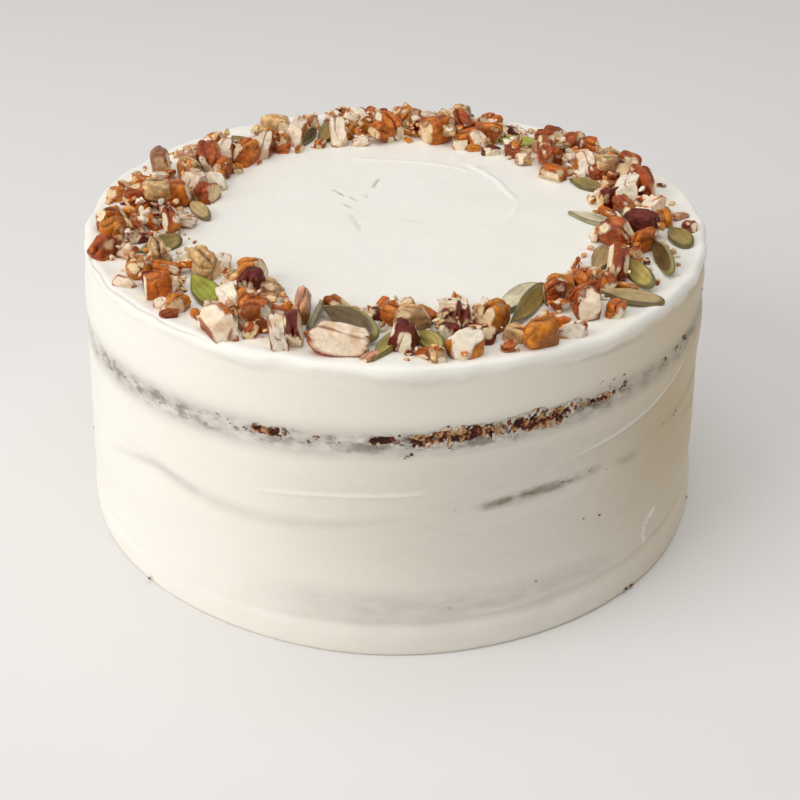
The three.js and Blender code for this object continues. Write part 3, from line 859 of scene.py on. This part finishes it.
def frosting_coat(material):
    """The spread coat, tinted by how thin it is, by painted shade and a painted crease shadow, by where its
    film is, and by painted highlights on its ridges.
    """
    coat = turned("frosting_coat", coat_rings(), COAT_STEPS)
    round_points = points_of(coat)
    points = spread(round_points)
    move_points(coat, points)
    angle, radius, height = round_place(points)
    # A painted shadow line greys the coat along the rim's crease.
    crease_shadow = rim_crease(angle, height) * (radius > straight_wall(TOP_HEIGHT) - 2.2)
    on_top = smooth(height, TOP_HEIGHT - 1, TOP_HEIGHT - 0.4)
    thin = veil(angle, height) * smooth(TOP_HEIGHT - height, 2, 6) + 0.5 * crease_shadow
    thin += 0.65 * on_top * top_scuffs(round_points)
    on_wall = smooth(height, 8, 10) * smooth(TOP_HEIGHT - height, 2, 4)
    # Painted highlight along the crests of the wall's ridges and of the spatula's ridges on the top.
    crest_highlight = wall_ridges(angle, height)[1] * on_wall + 1.6 * on_top * top_ridges(round_points)
    paint(coat, np.stack([thin, painted_side_shade(angle, height), film(angle, height), crest_highlight], axis=-1))
    coat.data.materials.append(material)
    return coat


# --- Sponge ---

def crumb_colours(level):
    """Pits darkened with painted shade, brown crumb and golden edges, by how high the crumb stands, from -1
    to 1.
    """
    pit, crumb, gold = (linear(tone) for tone in (PIT_TONE, CRUMB_TONE, GOLD_TONE))
    low = smooth(level, -0.4, 0.1)[:, None]
    high = smooth(level, 0.1, 0.5)[:, None]
    return pit + (crumb - pit) * low + (gold - crumb) * high * low


def crumb_level(points, seed):
    """Open texture of the crumb, from -1 in its pits to 1 on the thin walls between them."""
    return np.clip(lumps(points, 1.7, seed) + 0.8 * lumps(points, 0.6, seed + 1), -1, 1)


def crumb_block(columns, rows):
    """A fine grid of a size of 1, with plain sides and a plain back 1 below it."""
    bpy.ops.object.select_all(action="DESELECT")
    bpy.ops.mesh.primitive_grid_add(x_subdivisions=columns, y_subdivisions=rows, size=1)
    block = bpy.context.object
    edit_all()
    bpy.ops.mesh.region_to_loop()
    bpy.ops.mesh.extrude_edges_move(TRANSFORM_OT_translate={"value": (0, 0, -1)})
    bpy.ops.mesh.edge_face_add()
    bpy.ops.object.mode_set(mode="OBJECT")
    return block


def crumb_strip(start, end, half, band, cover_left, seed):
    """Bare crumb of one patch: a closed block bent round the wall, its face open-textured and smeared with
    frosting, in the patch just below the coat's surface and outside it well under the coat."""
    middle, reach = (start + end) / 2, (end - start) / 2 + math.degrees(PATCH_MARGIN / WALL_RADIUS_HIGH)
    step = FRONT_CRUMB_STEP if between(middle, 15) < 45 else BACK_CRUMB_STEP
    arc = 2 * math.radians(reach) * WALL_RADIUS_HIGH
    rise = 2 * (half + PATCH_MARGIN)
    strip = crumb_block(round(arc / step), round(rise / step))
    across, up, depth = points_of(strip).T * MM
    angle = middle + across * 2 * reach
    height = band(angle) + up * rise
    spot = place(angle, WALL_RADIUS_HIGH, height)
    level = crumb_level(spot, seed)
    share = patch_share(angle, height)
    open_share = share + raggedness(angle, height)
    ragged = 0.7 * lumps(spot, 1.8, seed + 2) + 0.8 * lumps(spot, 0.7, seed + 5)
    bare = smooth(share + ragged - cover_left, -0.08, 0.12)
    surface = straight_wall(height) + unevenness(angle, height) + wall_relief(angle, height)
    stand = -1.3 + 1.2 * smooth(open_share, -0.35, -0.05) + bare * (0.25 * level - 0.12)
    radius = np.where(depth < -0.5, straight_wall(height) - CRUMB_DEPTH, surface + stand)
    move_points(strip, place(angle, radius, height))
    paint(strip, blend(linear(SMEAR_TONE), crumb_colours(level), bare))
    face_outwards()
    return strip


def sponge_rings():
    """Radius and height of each ring of the sponge, up its wall and in to the middle of the top."""
    heights = np.linspace(0, SPONGE_HEIGHT - SPONGE_EDGE, 14)
    radii = part_way(SPONGE_RADIUS_LOW, SPONGE_RADIUS_HIGH, heights / SPONGE_HEIGHT)
    return [
        *((SPONGE_RADIUS_LOW * inner, 0) for inner in (0.15, 0.3, 0.5, 0.7, 0.85, 0.95)),
        *zip(radii, heights),
        *((inner, SPONGE_HEIGHT) for inner in (SPONGE_RADIUS_HIGH - SPONGE_EDGE, SPONGE_RADIUS_HIGH / 2, 1)),
    ]


def carrot_cake_sponge(material):
    """The round sponge with the bare crumb of every patch."""
    sponge = turned("carrot_sponge", sponge_rings(), SPONGE_STEPS)
    points = points_of(sponge)
    angle, radius, height = round_place(points)
    out = unevenness(angle, height) * radius / SPONGE_RADIUS_LOW
    move_points(sponge, place(angle, radius + out, height))
    paint(sponge, crumb_colours(0.9 * lumps(points, 2.2, 11)))
    strips = [crumb_strip(*patch, upper_band, 0.0, 20 + 3 * i) for i, patch in enumerate(UPPER_PATCHES)]
    strips += [crumb_strip(*patch, lower_band, 0.4, 60 + 3 * i) for i, patch in enumerate(LOWER_PATCHES)]
    join([sponge, *strips])
    sponge.data.materials.append(material)
    return sponge


# --- Nuts and seeds ---

# What a nut, a seed or a scrap is made from.
Piece = namedtuple("Piece", "tone x y z length width thick heading tilt roll")


def half_size(piece):
    return np.array((piece.length, piece.width, piece.thick)) / 2


def turn_matrix(piece):
    """Rolls about the length, tilts its head up, then heads it round the vertical."""
    roll, tilt, heading = (math.radians(turn) for turn in (piece.roll, piece.tilt, piece.heading))
    turns = (Matrix.Rotation(heading, 3, "Z"), Matrix.Rotation(-tilt, 3, "Y"), Matrix.Rotation(roll, 3, "X"))
    return np.array(turns[0] @ turns[1] @ turns[2])


def put(points, piece):
    """Turns a piece and puts it in its place."""
    return points @ turn_matrix(piece).T + (piece.x, piece.y, piece.z)


def set_down(points, piece):
    """Puts a piece in its place, let down until it is pressed into the frosting."""
    placed = put(points, piece)
    hang = placed[:, 2].min() - (TOP_HEIGHT - PRESS_DEPTH)
    if 0 < hang < HANG_LIMIT:
        placed[:, 2] -= hang
    return placed


def unit(vector):
    vector = np.array(vector, float)
    return vector / np.linalg.norm(vector)


def pumpkin_seed(piece, draw):
    """Hulled pumpkin seed: a flat teardrop with a raised rim, slightly dished and bent."""
    way = BALLS[5][1]
    x, y, z = way.T
    taper = (0.8 + 0.16 * x) * np.clip((1 + x) / 0.9, 0, 1) ** 0.5
    out = np.hypot(x, y)
    face = np.sign(z) * np.abs(z) ** 0.6
    dish = 0.62 + 0.38 * smooth(out, 0.55, 0.86)
    bend, wave = 0.5 * (draw() - 0.3), 0.4 * (draw() - 0.4)
    level = face * dish * 0.8 + bend * x * x + wave * y * y + 0.12 * lumps(way, 0.9, draw())
    points = np.stack([
        x * piece.length * 0.54, y * taper * piece.width * 0.45, level * piece.thick / 2,
    ], axis=-1)
    mottle = 1 + 0.3 * lumps(points, 3.5, draw())
    mottle += 0.1 * np.sin(points[:, 1] * 5 + 2 * lumps(points, 4, draw()))
    skin = linear(SEED_TONES[piece.tone]) * mottle[:, None]
    # Dark seeds get a painted highlight along the rim, the others a darker edge.
    rim_edge_or_highlight_tone = RIM_HIGHLIGHT_TONE if piece.tone == "dark seed" else RIM_TONE
    colours = blend(skin, linear(rim_edge_or_highlight_tone), bell(out - 0.95, 0.08) * 0.85)
    colours[:, 3] = 1
    return shaped(5, set_down(points, piece), colours)


def skin_side(piece, draw):
    """The way that the skin side of a piece faces, across its length, and the way to its side."""
    crown = np.array((0, -0.3 + 0.7 * (draw() - 0.5), 1)) @ turn_matrix(piece)
    crown[0] = 0
    crown = unit(crown)
    return crown, np.cross(crown, (1, 0, 0))


def furrowed_skin(way, crown, side, draw):
    """Reach of the skin in each direction and how deep in a fold it is, for the painted shade in the folds:
    long folds and short wrinkles.
    """
    about = np.arctan2(way @ side, way @ crown) + 0.4 * lumps(way, 1.2, draw()) + 0.6 * (draw() - 0.5)
    fade = 0.6 + 0.4 * lumps(way, 0.8, draw())
    aside = np.abs(about)
    folds = fade * (bell(about, 0.15) + 0.5 * bell(aside - 0.95, 0.15) + 0.5 * bell(aside - 1.8, 0.16))
    wrinkles = np.clip(1 - 3.5 * np.abs(lumps(way * (0.7, 1, 1), 0.6, draw())), 0, 1)
    block = (np.abs(way) ** 4).sum(axis=1) ** (-1 / 4)
    reach = block * (1 + 0.13 * lumps(way, 0.85, draw()) - 0.2 * folds - 0.05 * wrinkles)
    return reach, np.clip(0.95 * folds + 0.3 * wrinkles, 0, 1)


def breaks(piece, crown, side, draw):
    """Where the piece is broken off: the way each flat break faces and its share of the way out."""
    def jitter(amount):
        return amount * (draw() - 0.5)

    back = np.array((0, 1, 0)) @ turn_matrix(piece)
    flank = side if (side @ back > 0) == (draw() < 0.8) else -side
    ends = [(unit((end, jitter(1.1), jitter(0.9))), 0.9 + jitter(0.2)) for end in (1, -1)]
    found = ends + [(unit(-crown + (jitter(0.3), jitter(0.3), 0)), 0.8),
                    (unit(flank + crown * jitter(0.8) + (jitter(0.5), 0, 0)), 0.76 + jitter(0.3)),
                    (unit(crown * 0.8 - flank + (jitter(1.6), 0, 0)), 1.12 + jitter(0.2)),
                    (unit(crown * 0.6 + flank + (2 * jitter(1.6), 0, 0)), 1.0 + jitter(0.3))]
    if piece.tone in FLESH_TONES:
        crown_share = 0.35 if piece.width > 7 else 0.62
        found.append((unit(crown + side * jitter(0.7) + (jitter(0.7), 0, 0)), crown_share))
        found.append((unit(np.array((jitter(0.8), -1, 0.35)) @ turn_matrix(piece)), 0.62))
    return found


def crumbled(way, draw):
    """Share of the reach that is left where a little of the piece has crumbled out."""
    toward = unit((2 * draw() - 1, 2 * draw() - 1, 0.3 + draw()))
    return 1 - 0.3 * draw() * bell(np.arccos(np.clip(way @ toward, -1, 1)), 0.45)


def inner_seam(way, piece, draw):
    """From 0 to 1 over the brown seams inside the kernel, which show on its broken faces."""
    seam_side = unit((0.7 * (draw() - 0.5), 0.8, 0.8 * (draw() - 0.2)))
    bend = draw()
    along = way @ seam_side + 0.35 * lumps(way, 1.1, bend)
    width = np.maximum(0.1 + 0.07 * lumps(way, 0.8, bend + 1), 0.03)
    seam = np.maximum(bell(along - 0.05, width), 0.3 * bell(along - 0.5, 0.07))
    seam *= 0.85 * smooth(lumps(way, 0.9, draw()), -0.45, 0.1)
    return seam * (draw() < (1 if piece.tone in FLESH_TONES else 0.4))


def skin_colours(piece, way, points, fold_shade_and_edge, draw):
    """Papery skin: a painted highlight on its crests, painted shade in its folds and on one side, mostly the
    lower one, and dark at its edges.
    """
    tone = SKIN_TONES.get(piece.tone, SKIN_TONES[("rust", "amber", "orange")[int(3 * draw())]])
    skin = linear(tone) * (1 + 0.2 * lumps(points, 2.2, draw()))[:, None]
    if piece.tone != "maroon":
        # Painted highlight on the crests, away from the folds.
        skin = blend(skin, linear(SKIN_HIGHLIGHT_TONE), 0.5 * smooth(lumps(points, 2.4, draw()) - fold_shade_and_edge, 0, 0.7))
    # Painted shade on one side of the piece, most often the lower one.
    shaded_side = 0.6 * smooth(way @ unit((draw() - 0.5, draw() - 0.5, draw() - 0.7)), 0.1, 0.6)
    return blend(skin, linear(SKIN_SHADE_AND_EDGE_TONE), np.maximum(fold_shade_and_edge, shaded_side * (draw() < 0.8)))


def flesh_colours(piece, points, browned, draw):
    """Broken flesh: cream, in places tan, browned at the skin and along its seams."""
    flesh = linear(FLESH_TONES.get(piece.tone, BROKEN_TONES[int(3 * draw())]))
    patches = 0.5 * smooth(lumps(points, 3.2, draw()), 0.15, 0.6)
    flesh = flesh * (1 + 0.05 * lumps(points, 1.8, draw()))[:, None]
    return blend(blend(flesh, linear(VEIN_TONE), patches), linear(SEAM_TONE), browned)


def pecan_piece(piece, draw, fineness):
    """Chopped pecan: a furrowed block of skin, broken off flat below, at both ends and on its sides, and
    for a piece with a flesh tone also above and towards the front."""
    way = BALLS[fineness][1]
    crown, side = skin_side(piece, draw)
    skin_reach, fold_shade_and_edge = furrowed_skin(way, crown, side, draw)
    reach = np.full(len(way), 9.0)
    for normal, distance in breaks(piece, crown, side, draw):
        facing = np.maximum(way @ normal, 0.05)
        grit = 1 + 0.06 * lumps(way, 0.8, draw()) + 0.012 * lumps(way, 0.25, draw())
        reach = np.minimum(reach, distance * grit / facing)
    seam = inner_seam(way, piece, draw)
    left_over = crumbled(way, draw)
    broken = (reach < skin_reach) | (left_over < 0.9)
    margin = np.maximum(skin_reach - reach, 0.9 - left_over)
    whole = np.minimum(reach, skin_reach) * left_over * (1 - 0.12 * broken * seam)
    points = way * whole[:, None] * half_size(piece)
    flesh = flesh_colours(piece, points, np.maximum(0.7 * smooth(margin, 0.09, 0.01), seam), draw)
    # The dark edge of the skin next to its breaks joins the painted shade of the folds.
    fold_shade_and_edge = np.maximum(fold_shade_and_edge, 0.55 * smooth(reach - skin_reach, 0.12, 0.01))
    colours = np.where(broken[:, None], flesh, skin_colours(piece, way, points, fold_shade_and_edge, draw))
    colours[:, 3] = 1 - broken
    return shaped(fineness, set_down(points, piece), colours)


def large_nut(tone, x, y, length, width, heading, tilt):
    """A nut from a row of the wreath, thick in proportion to its width."""
    thick = NUT_THICK_BASE + NUT_THICK_SHARE * width
    return Piece(tone, x, y, TOP_HEIGHT + NUT_RISE * thick, length, width, thick, heading, tilt, 0)


def large_seed(tone, x, y, length, width, heading, roll):
    """A seed from a row of the wreath, the higher the further it is rolled on its side."""
    rise = SEED_RISE + 0.3 * width * abs(math.sin(math.radians(roll)))
    return Piece(tone, x, y, TOP_HEIGHT + rise, length, width, SEED_THICK, heading, 0, roll)


def cover(angle):
    """Share of the full covering that the wreath has; it thins at the right of the front."""
    return 1 - THIN_SHARE * bell(between(angle, THIN_ANGLE), THIN_WIDTH)


def too_near(one, other):
    """Whether two pieces would overlap by more than the wreath allows."""
    reach = sum(0.3 * (piece.length + piece.width) for piece in (other, one))
    return math.hypot(other.x - one.x, other.y - one.y) < NEAR_SHARE * reach


def any_tone(value):
    """Tone of a small bit: broken flesh or any colour of skin."""
    return next((tone for tone, limit in TONE_LIMITS.items() if value < limit), "maroon")


def with_small_bits(large):
    """Fills the gaps of the ring with small bits, by the same rule and seed as the solid model."""
    draw = make_draw(WREATH_SEED)
    pieces = list(large)
    for _ in range(BIT_TRIES):
        if len(pieces) == len(large) + SMALL_BITS:
            break
        share = (len(pieces) - len(large)) / SMALL_BITS
        angle = 360 * draw() - 180
        radius = part_way(WREATH_INNER, WREATH_OUTER, draw())
        x, y, _height = place(angle, radius, 0.0)
        length = part_way(LARGEST_BIT, SMALLEST_BIT, share) * (0.85 + 0.3 * draw())
        width = length * (0.6 + 0.25 * draw())
        thick = width * (0.8 + 0.2 * draw())
        heading, tilt = 360 * draw(), 30 * (draw() - 0.5)
        keep = draw()
        z = TOP_HEIGHT + BIT_RISE * thick
        piece = Piece(any_tone(keep / cover(angle)), x, y, z, length, width, thick, heading, tilt, 0)
        if keep < cover(angle) and not any(too_near(piece, other) for other in pieces):
            pieces.append(piece)
    return pieces


def heap_cell(values):
    return np.clip(((values + FOOT_RADIUS) / HEAP_STEP).astype(int), 0, HEAP_CELLS - 1)


def heap_up(piece):
    """Raises the heap to a piece's points."""
    x, y, height = points_of(piece).T
    np.maximum.at(heap, (heap_cell(x), heap_cell(y)), height)


def heap_under(x, y, reach):
    """Middle height of the heap over the ground that a small piece would cover, and whether a seed,
    which stays uncovered, lies there."""
    columns, rows = (heap_cell(np.array([value - reach, value + reach])) for value in (x, y))
    cells = slice(columns[0], columns[1] + 1), slice(rows[0], rows[1] + 1)
    return float(np.median(heap[cells])), bool(on_seed[cells].any())


def lowest_spot(draw, reach, again):
    """The lowest of some spots in the ring, more of them where the wreath is full."""
    best = None
    while best is None or draw() < again:
        angle = 360 * draw() - 180
        share = (draw() + draw()) / 2
        radius = WREATH_INNER - 0.5 + (WREATH_OUTER + 2 - 1.2 * reach - WREATH_INNER) * share
        if draw() > cover(angle) ** 0.7:
            continue
        x, y, _height = place(angle, radius, 0.0)
        ground, seed_there = heap_under(x, y, reach)
        free = not seed_there and ground < TOP_HEIGHT + HIGHEST_REST
        if free and (best is None or ground < best[2]):
            best = (float(x), float(y), ground)
    return best


def scrap(draw, length, again):
    """A scrap of nut in the lowest spot found, mostly flesh; some are slivers."""
    width = length * (0.4 if draw() < 0.25 else 0.6 + 0.3 * draw())
    x, y, ground = lowest_spot(draw, 0.3 * length, again)
    return Piece(any_tone(draw()), x, y, ground + 0.25 * width, length, width, width * (0.7 + 0.3 * draw()),
                 360 * draw(), 50 * (draw() - 0.5), 0)


def scrap_piece(piece, draw, fineness):
    """A scrap with a few flat faces, on some of them skin."""
    way = BALLS[fineness][1]
    reach = np.full(len(way), 1.2)
    flat = np.zeros(len(way))
    for side in range(SCRAP_FACES):
        facing = np.maximum(way @ any_way(draw), 0.05)
        cut = (0.5 + 0.35 * draw()) / facing
        flat = np.where(cut < reach, side, flat)
        reach = np.minimum(reach, cut)
    points = way * reach[:, None] * half_size(piece)
    if piece.tone in SKIN_TONES:
        tone, skin = SKIN_TONES[piece.tone], (flat % 3 != 0) * 1.0
    else:
        tone, skin = SKIN_TONES["orange"], (flat == 4) * 1.0
    colours = blend(linear(FLESH_TONES.get(piece.tone, SCRAP_TONE)), linear(tone), skin)
    colours = colours * (1 + 0.2 * lumps(way, 0.8, draw()))[:, None]
    colours[:, 3] = skin
    return shaped(fineness, put(points, piece), colours)


def fill_up(draw):
    """Lays broken chips, then scraps from the largest to the smallest, each on the heap left so far."""
    chips, scraps = [], []
    for index in range(FILLERS):
        length = LARGEST_FILLER + (LARGEST_SCRAP - LARGEST_FILLER) * index / FILLERS
        filler = scrap(draw, length * (0.9 + 0.2 * draw()), 0.9)
        filler = filler._replace(thick=0.85 * filler.width)
        chips.append(pecan_piece(filler, draw, 4))
        heap_up(chips[-1])
    for index in range(SCRAPS):
        length = part_way(LARGEST_SCRAP, SMALLEST_SCRAP, (index / SCRAPS) ** 0.5)
        fineness = 3 if length > 3 else 2 if length > 1.5 else 1
        scraps.append(scrap_piece(scrap(draw, length, 0.7), draw, fineness))
        heap_up(scraps[-1])
    return chips, scraps


def wreath(kernel, seed_skin):
    """All nuts and seeds, joined by kind."""
    rows = LEFT_PIECES + FRONT_PIECES + RIGHT_PIECES + BACK_PIECES
    large = [large_seed(*row) if row[0] in SEED_TONES else large_nut(*row) for row in rows]
    groups = {"pecan_pieces": [], "pecan_flesh": [], "pumpkin_seeds": [], "pecan_bits": []}
    for index, piece in enumerate(with_small_bits(large)):
        draw = make_draw(PIECE_SEED + PIECE_SEED_STEP * index)
        if piece.tone in SEED_TONES:
            groups["pumpkin_seeds"].append(pumpkin_seed(piece, draw))
        elif index >= len(large):
            groups["pecan_bits"].append(pecan_piece(piece, draw, 4))
        else:
            name = "pecan_flesh" if piece.tone in FLESH_TONES else "pecan_pieces"
            groups[name].append(pecan_piece(piece, draw, 5))
    for made in groups.values():
        for piece in made:
            heap_up(piece)
    for seed in groups["pumpkin_seeds"]:
        x, y, _height = points_of(seed).T
        on_seed[heap_cell(x), heap_cell(y)] = True
    groups["pecan_chips"], groups["pecan_scraps"] = fill_up(make_draw(FILLER_SEED))
    looks = {"pumpkin_seeds": (seed_skin, SEED_CREASE)}
    return [joined(name, made, *looks.get(name, (kernel, NUT_CREASE))) for name, made in groups.items()]


# --- Crumbs of cake on the wall ---

# Rows of specks along the upper band: start and end angle, lowest and highest offset, count and size.
UPPER_SPECKS = [
    (-62, -34, -3.0, 1.6, 4, 0.5), (-32, -24, -2.6, 1.8, 12, 0.6), (-24, -12, -1.9, 1.6, 22, 0.65),
    (-12, 3, -2.0, 1.6, 9, 0.55), (2, 33, -3.4, 2.8, 60, 0.6), (31, 41, -1.4, 4.0, 26, 0.6),
    (41, 62, -1.4, 1.4, 26, 0.75), (80, 150, -2.6, 2.6, 50, 0.65), (-180, -95, -2.6, 2.6, 60, 0.65),
]
LOWER_SPECKS = [
    (10, 32, -1.0, 1.0, 8, 0.35), (30, 62, -1.8, 0.6, 14, 0.5), (108, 128, -1.4, 1.4, 24, 0.6),
    (-150, -130, -1.4, 1.4, 24, 0.6),
]
# Single specks and crumbs at the foot: angle, height and size.
LONE_SPECKS = [
    (36.5, 26, 0.7), (33, 27, 0.4), (24, 15, 0.6), (52, 7.5, 0.6), (44, 1.2, 1.1), (45.5, 1.0, 0.9),
    (-46, 0.9, 0.7), (-120, 1.0, 1.1),
    (160, 1.1, 1.0), (75, 0.9, 0.9), (-75, 20, 0.5), (140, 22, 0.6),
]

CRUMB_SEED = 611


def coat_surface(angle, height):
    """Radius of the coat's surface, without its bare patches."""
    foot_heights, insets = np.array(FOOT_PROFILE).T
    foot = np.interp(height, foot_heights, FOOT_RADIUS - insets)
    wall = straight_wall(height) + smooth(height, 8, 12) * wall_relief(angle, height)
    return np.where(height > foot_heights[-1], wall, foot) + unevenness(angle, height)


def speck_spots(draw):
    """Angle, height and size of every speck, most of them small and in clusters."""
    spots = list(LONE_SPECKS)
    for rows, band in ((UPPER_SPECKS, upper_band), (LOWER_SPECKS, lower_band)):
        for start, end, low, high, count, size in rows:
            angle, offset = start, 0
            for _ in range(count):
                if draw() < 0.4:
                    angle = part_way(start, end, draw())
                    offset = low + (high - low) * (draw() + draw()) / 2
                angle += 1.2 * (draw() - 0.5)
                offset += 1.0 * (draw() - 0.5)
                spots.append((angle, band(angle) + offset, size * (0.4 + 0.9 * draw() ** 2)))
    return spots


def cake_crumbs(material):
    """Dark crumbs that the scraper dragged out, pressed into the coat round the bare patches."""
    draw = make_draw(CRUMB_SEED)
    way = BALLS[1][1]
    made = []
    for angle, height, size in speck_spots(draw):
        stretch = np.array((1 + 0.8 * draw(), 0.6, 0.6 + 0.5 * draw()))
        points = way * stretch * size / 2 * (1 + 0.4 * lumps(way, 0.7, draw()))[:, None]
        radius = float(coat_surface(np.array([angle]), np.array([float(height)]))[0])
        spin = np.array(Matrix.Rotation(math.radians(angle), 3, "Z"))
        points = points @ spin.T + place(angle, radius + 0.1 * size, height)
        colours = crumb_colours(np.full(len(way), 0.9 * (draw() - 0.6)))
        made.append(shaped(1, points, blend(colours, linear(SMEAR_TONE), np.full(len(way), 0.35 * draw()))))
    return joined("cake_crumbs", made, material, CRUMB_CREASE)


# --- Stage, light and camera ---

def soft_light(name, place_at, size, power, tone):
    """A square soft light that faces the middle of the cake."""
    light = bpy.data.lights.new(name, "AREA")
    light.shape = "SQUARE"
    light.size = size
    light.energy = power
    light.color = linear(tone)[:3]
    lamp = bpy.data.objects.new(name, light)
    lamp.location = place_at
    lamp.rotation_mode = "QUATERNION"
    lamp.rotation_quaternion = (CAKE_MIDDLE - Vector(place_at)).to_track_quat("-Z", "Y")
    bpy.context.scene.collection.objects.link(lamp)


def stage():
    """A plain pale floor, a large soft light from the left and the even light of a pale room."""
    bpy.ops.object.select_all(action="DESELECT")
    bpy.ops.mesh.primitive_plane_add(size=6, location=(0, 0, 0))
    floor = bpy.context.object
    floor.name = "floor"
    paint_finish = {"Base Color": linear("EAE8E6"), "Roughness": 0.8}
    floor.data.materials.append(new_material("pale_paint", paint_finish)[0])

    world = bpy.data.worlds.new("pale_room")
    bpy.context.scene.world = world
    world.use_nodes = True
    background = world.node_tree.nodes["Background"]
    background.inputs["Color"].default_value = linear("E3E2E1")
    background.inputs["Strength"].default_value = 0.45
    soft_light("window_light", (-0.81, -0.43, 0.55), 0.8, 6.0, "FFFDF9")
    soft_light("ceiling_light", (0, 0, 1.3), 1.2, 7.6, "FFFFFF")


def camera():
    """Looks at the cake from the front, a little above the rim, level apart from a slight lean."""
    lens = bpy.data.cameras.new("camera")
    lens.lens = FOCAL_LENGTH
    lens.sensor_width = FILM_WIDTH
    lens.clip_start = 0.01
    cam = bpy.data.objects.new("camera", lens)
    cam.rotation_mode = "QUATERNION"
    up = VIEW_RIGHT.cross(VIEW_AHEAD)
    cam.rotation_quaternion = Matrix((VIEW_RIGHT, up, -VIEW_AHEAD)).transposed().to_quaternion()
    cam.location = VIEW_FROM * MM
    bpy.context.scene.collection.objects.link(cam)
    bpy.context.scene.camera = cam


# --- Assembly ---

coat = frosting_coat(cream_cheese_frosting())
sponge = carrot_cake_sponge(carrot_sponge())
toppings = wreath(pecan_kernel(), pumpkin_kernel())
crumbs = cake_crumbs(sponge.data.materials[0])

for piece in (coat, *toppings):
    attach(piece, "root")
    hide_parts("frosting")
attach(crumbs, "root")
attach(sponge, "root")
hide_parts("sponge")

stage()
camera()
bpy.context.scene.view_settings.view_transform = "Standard"
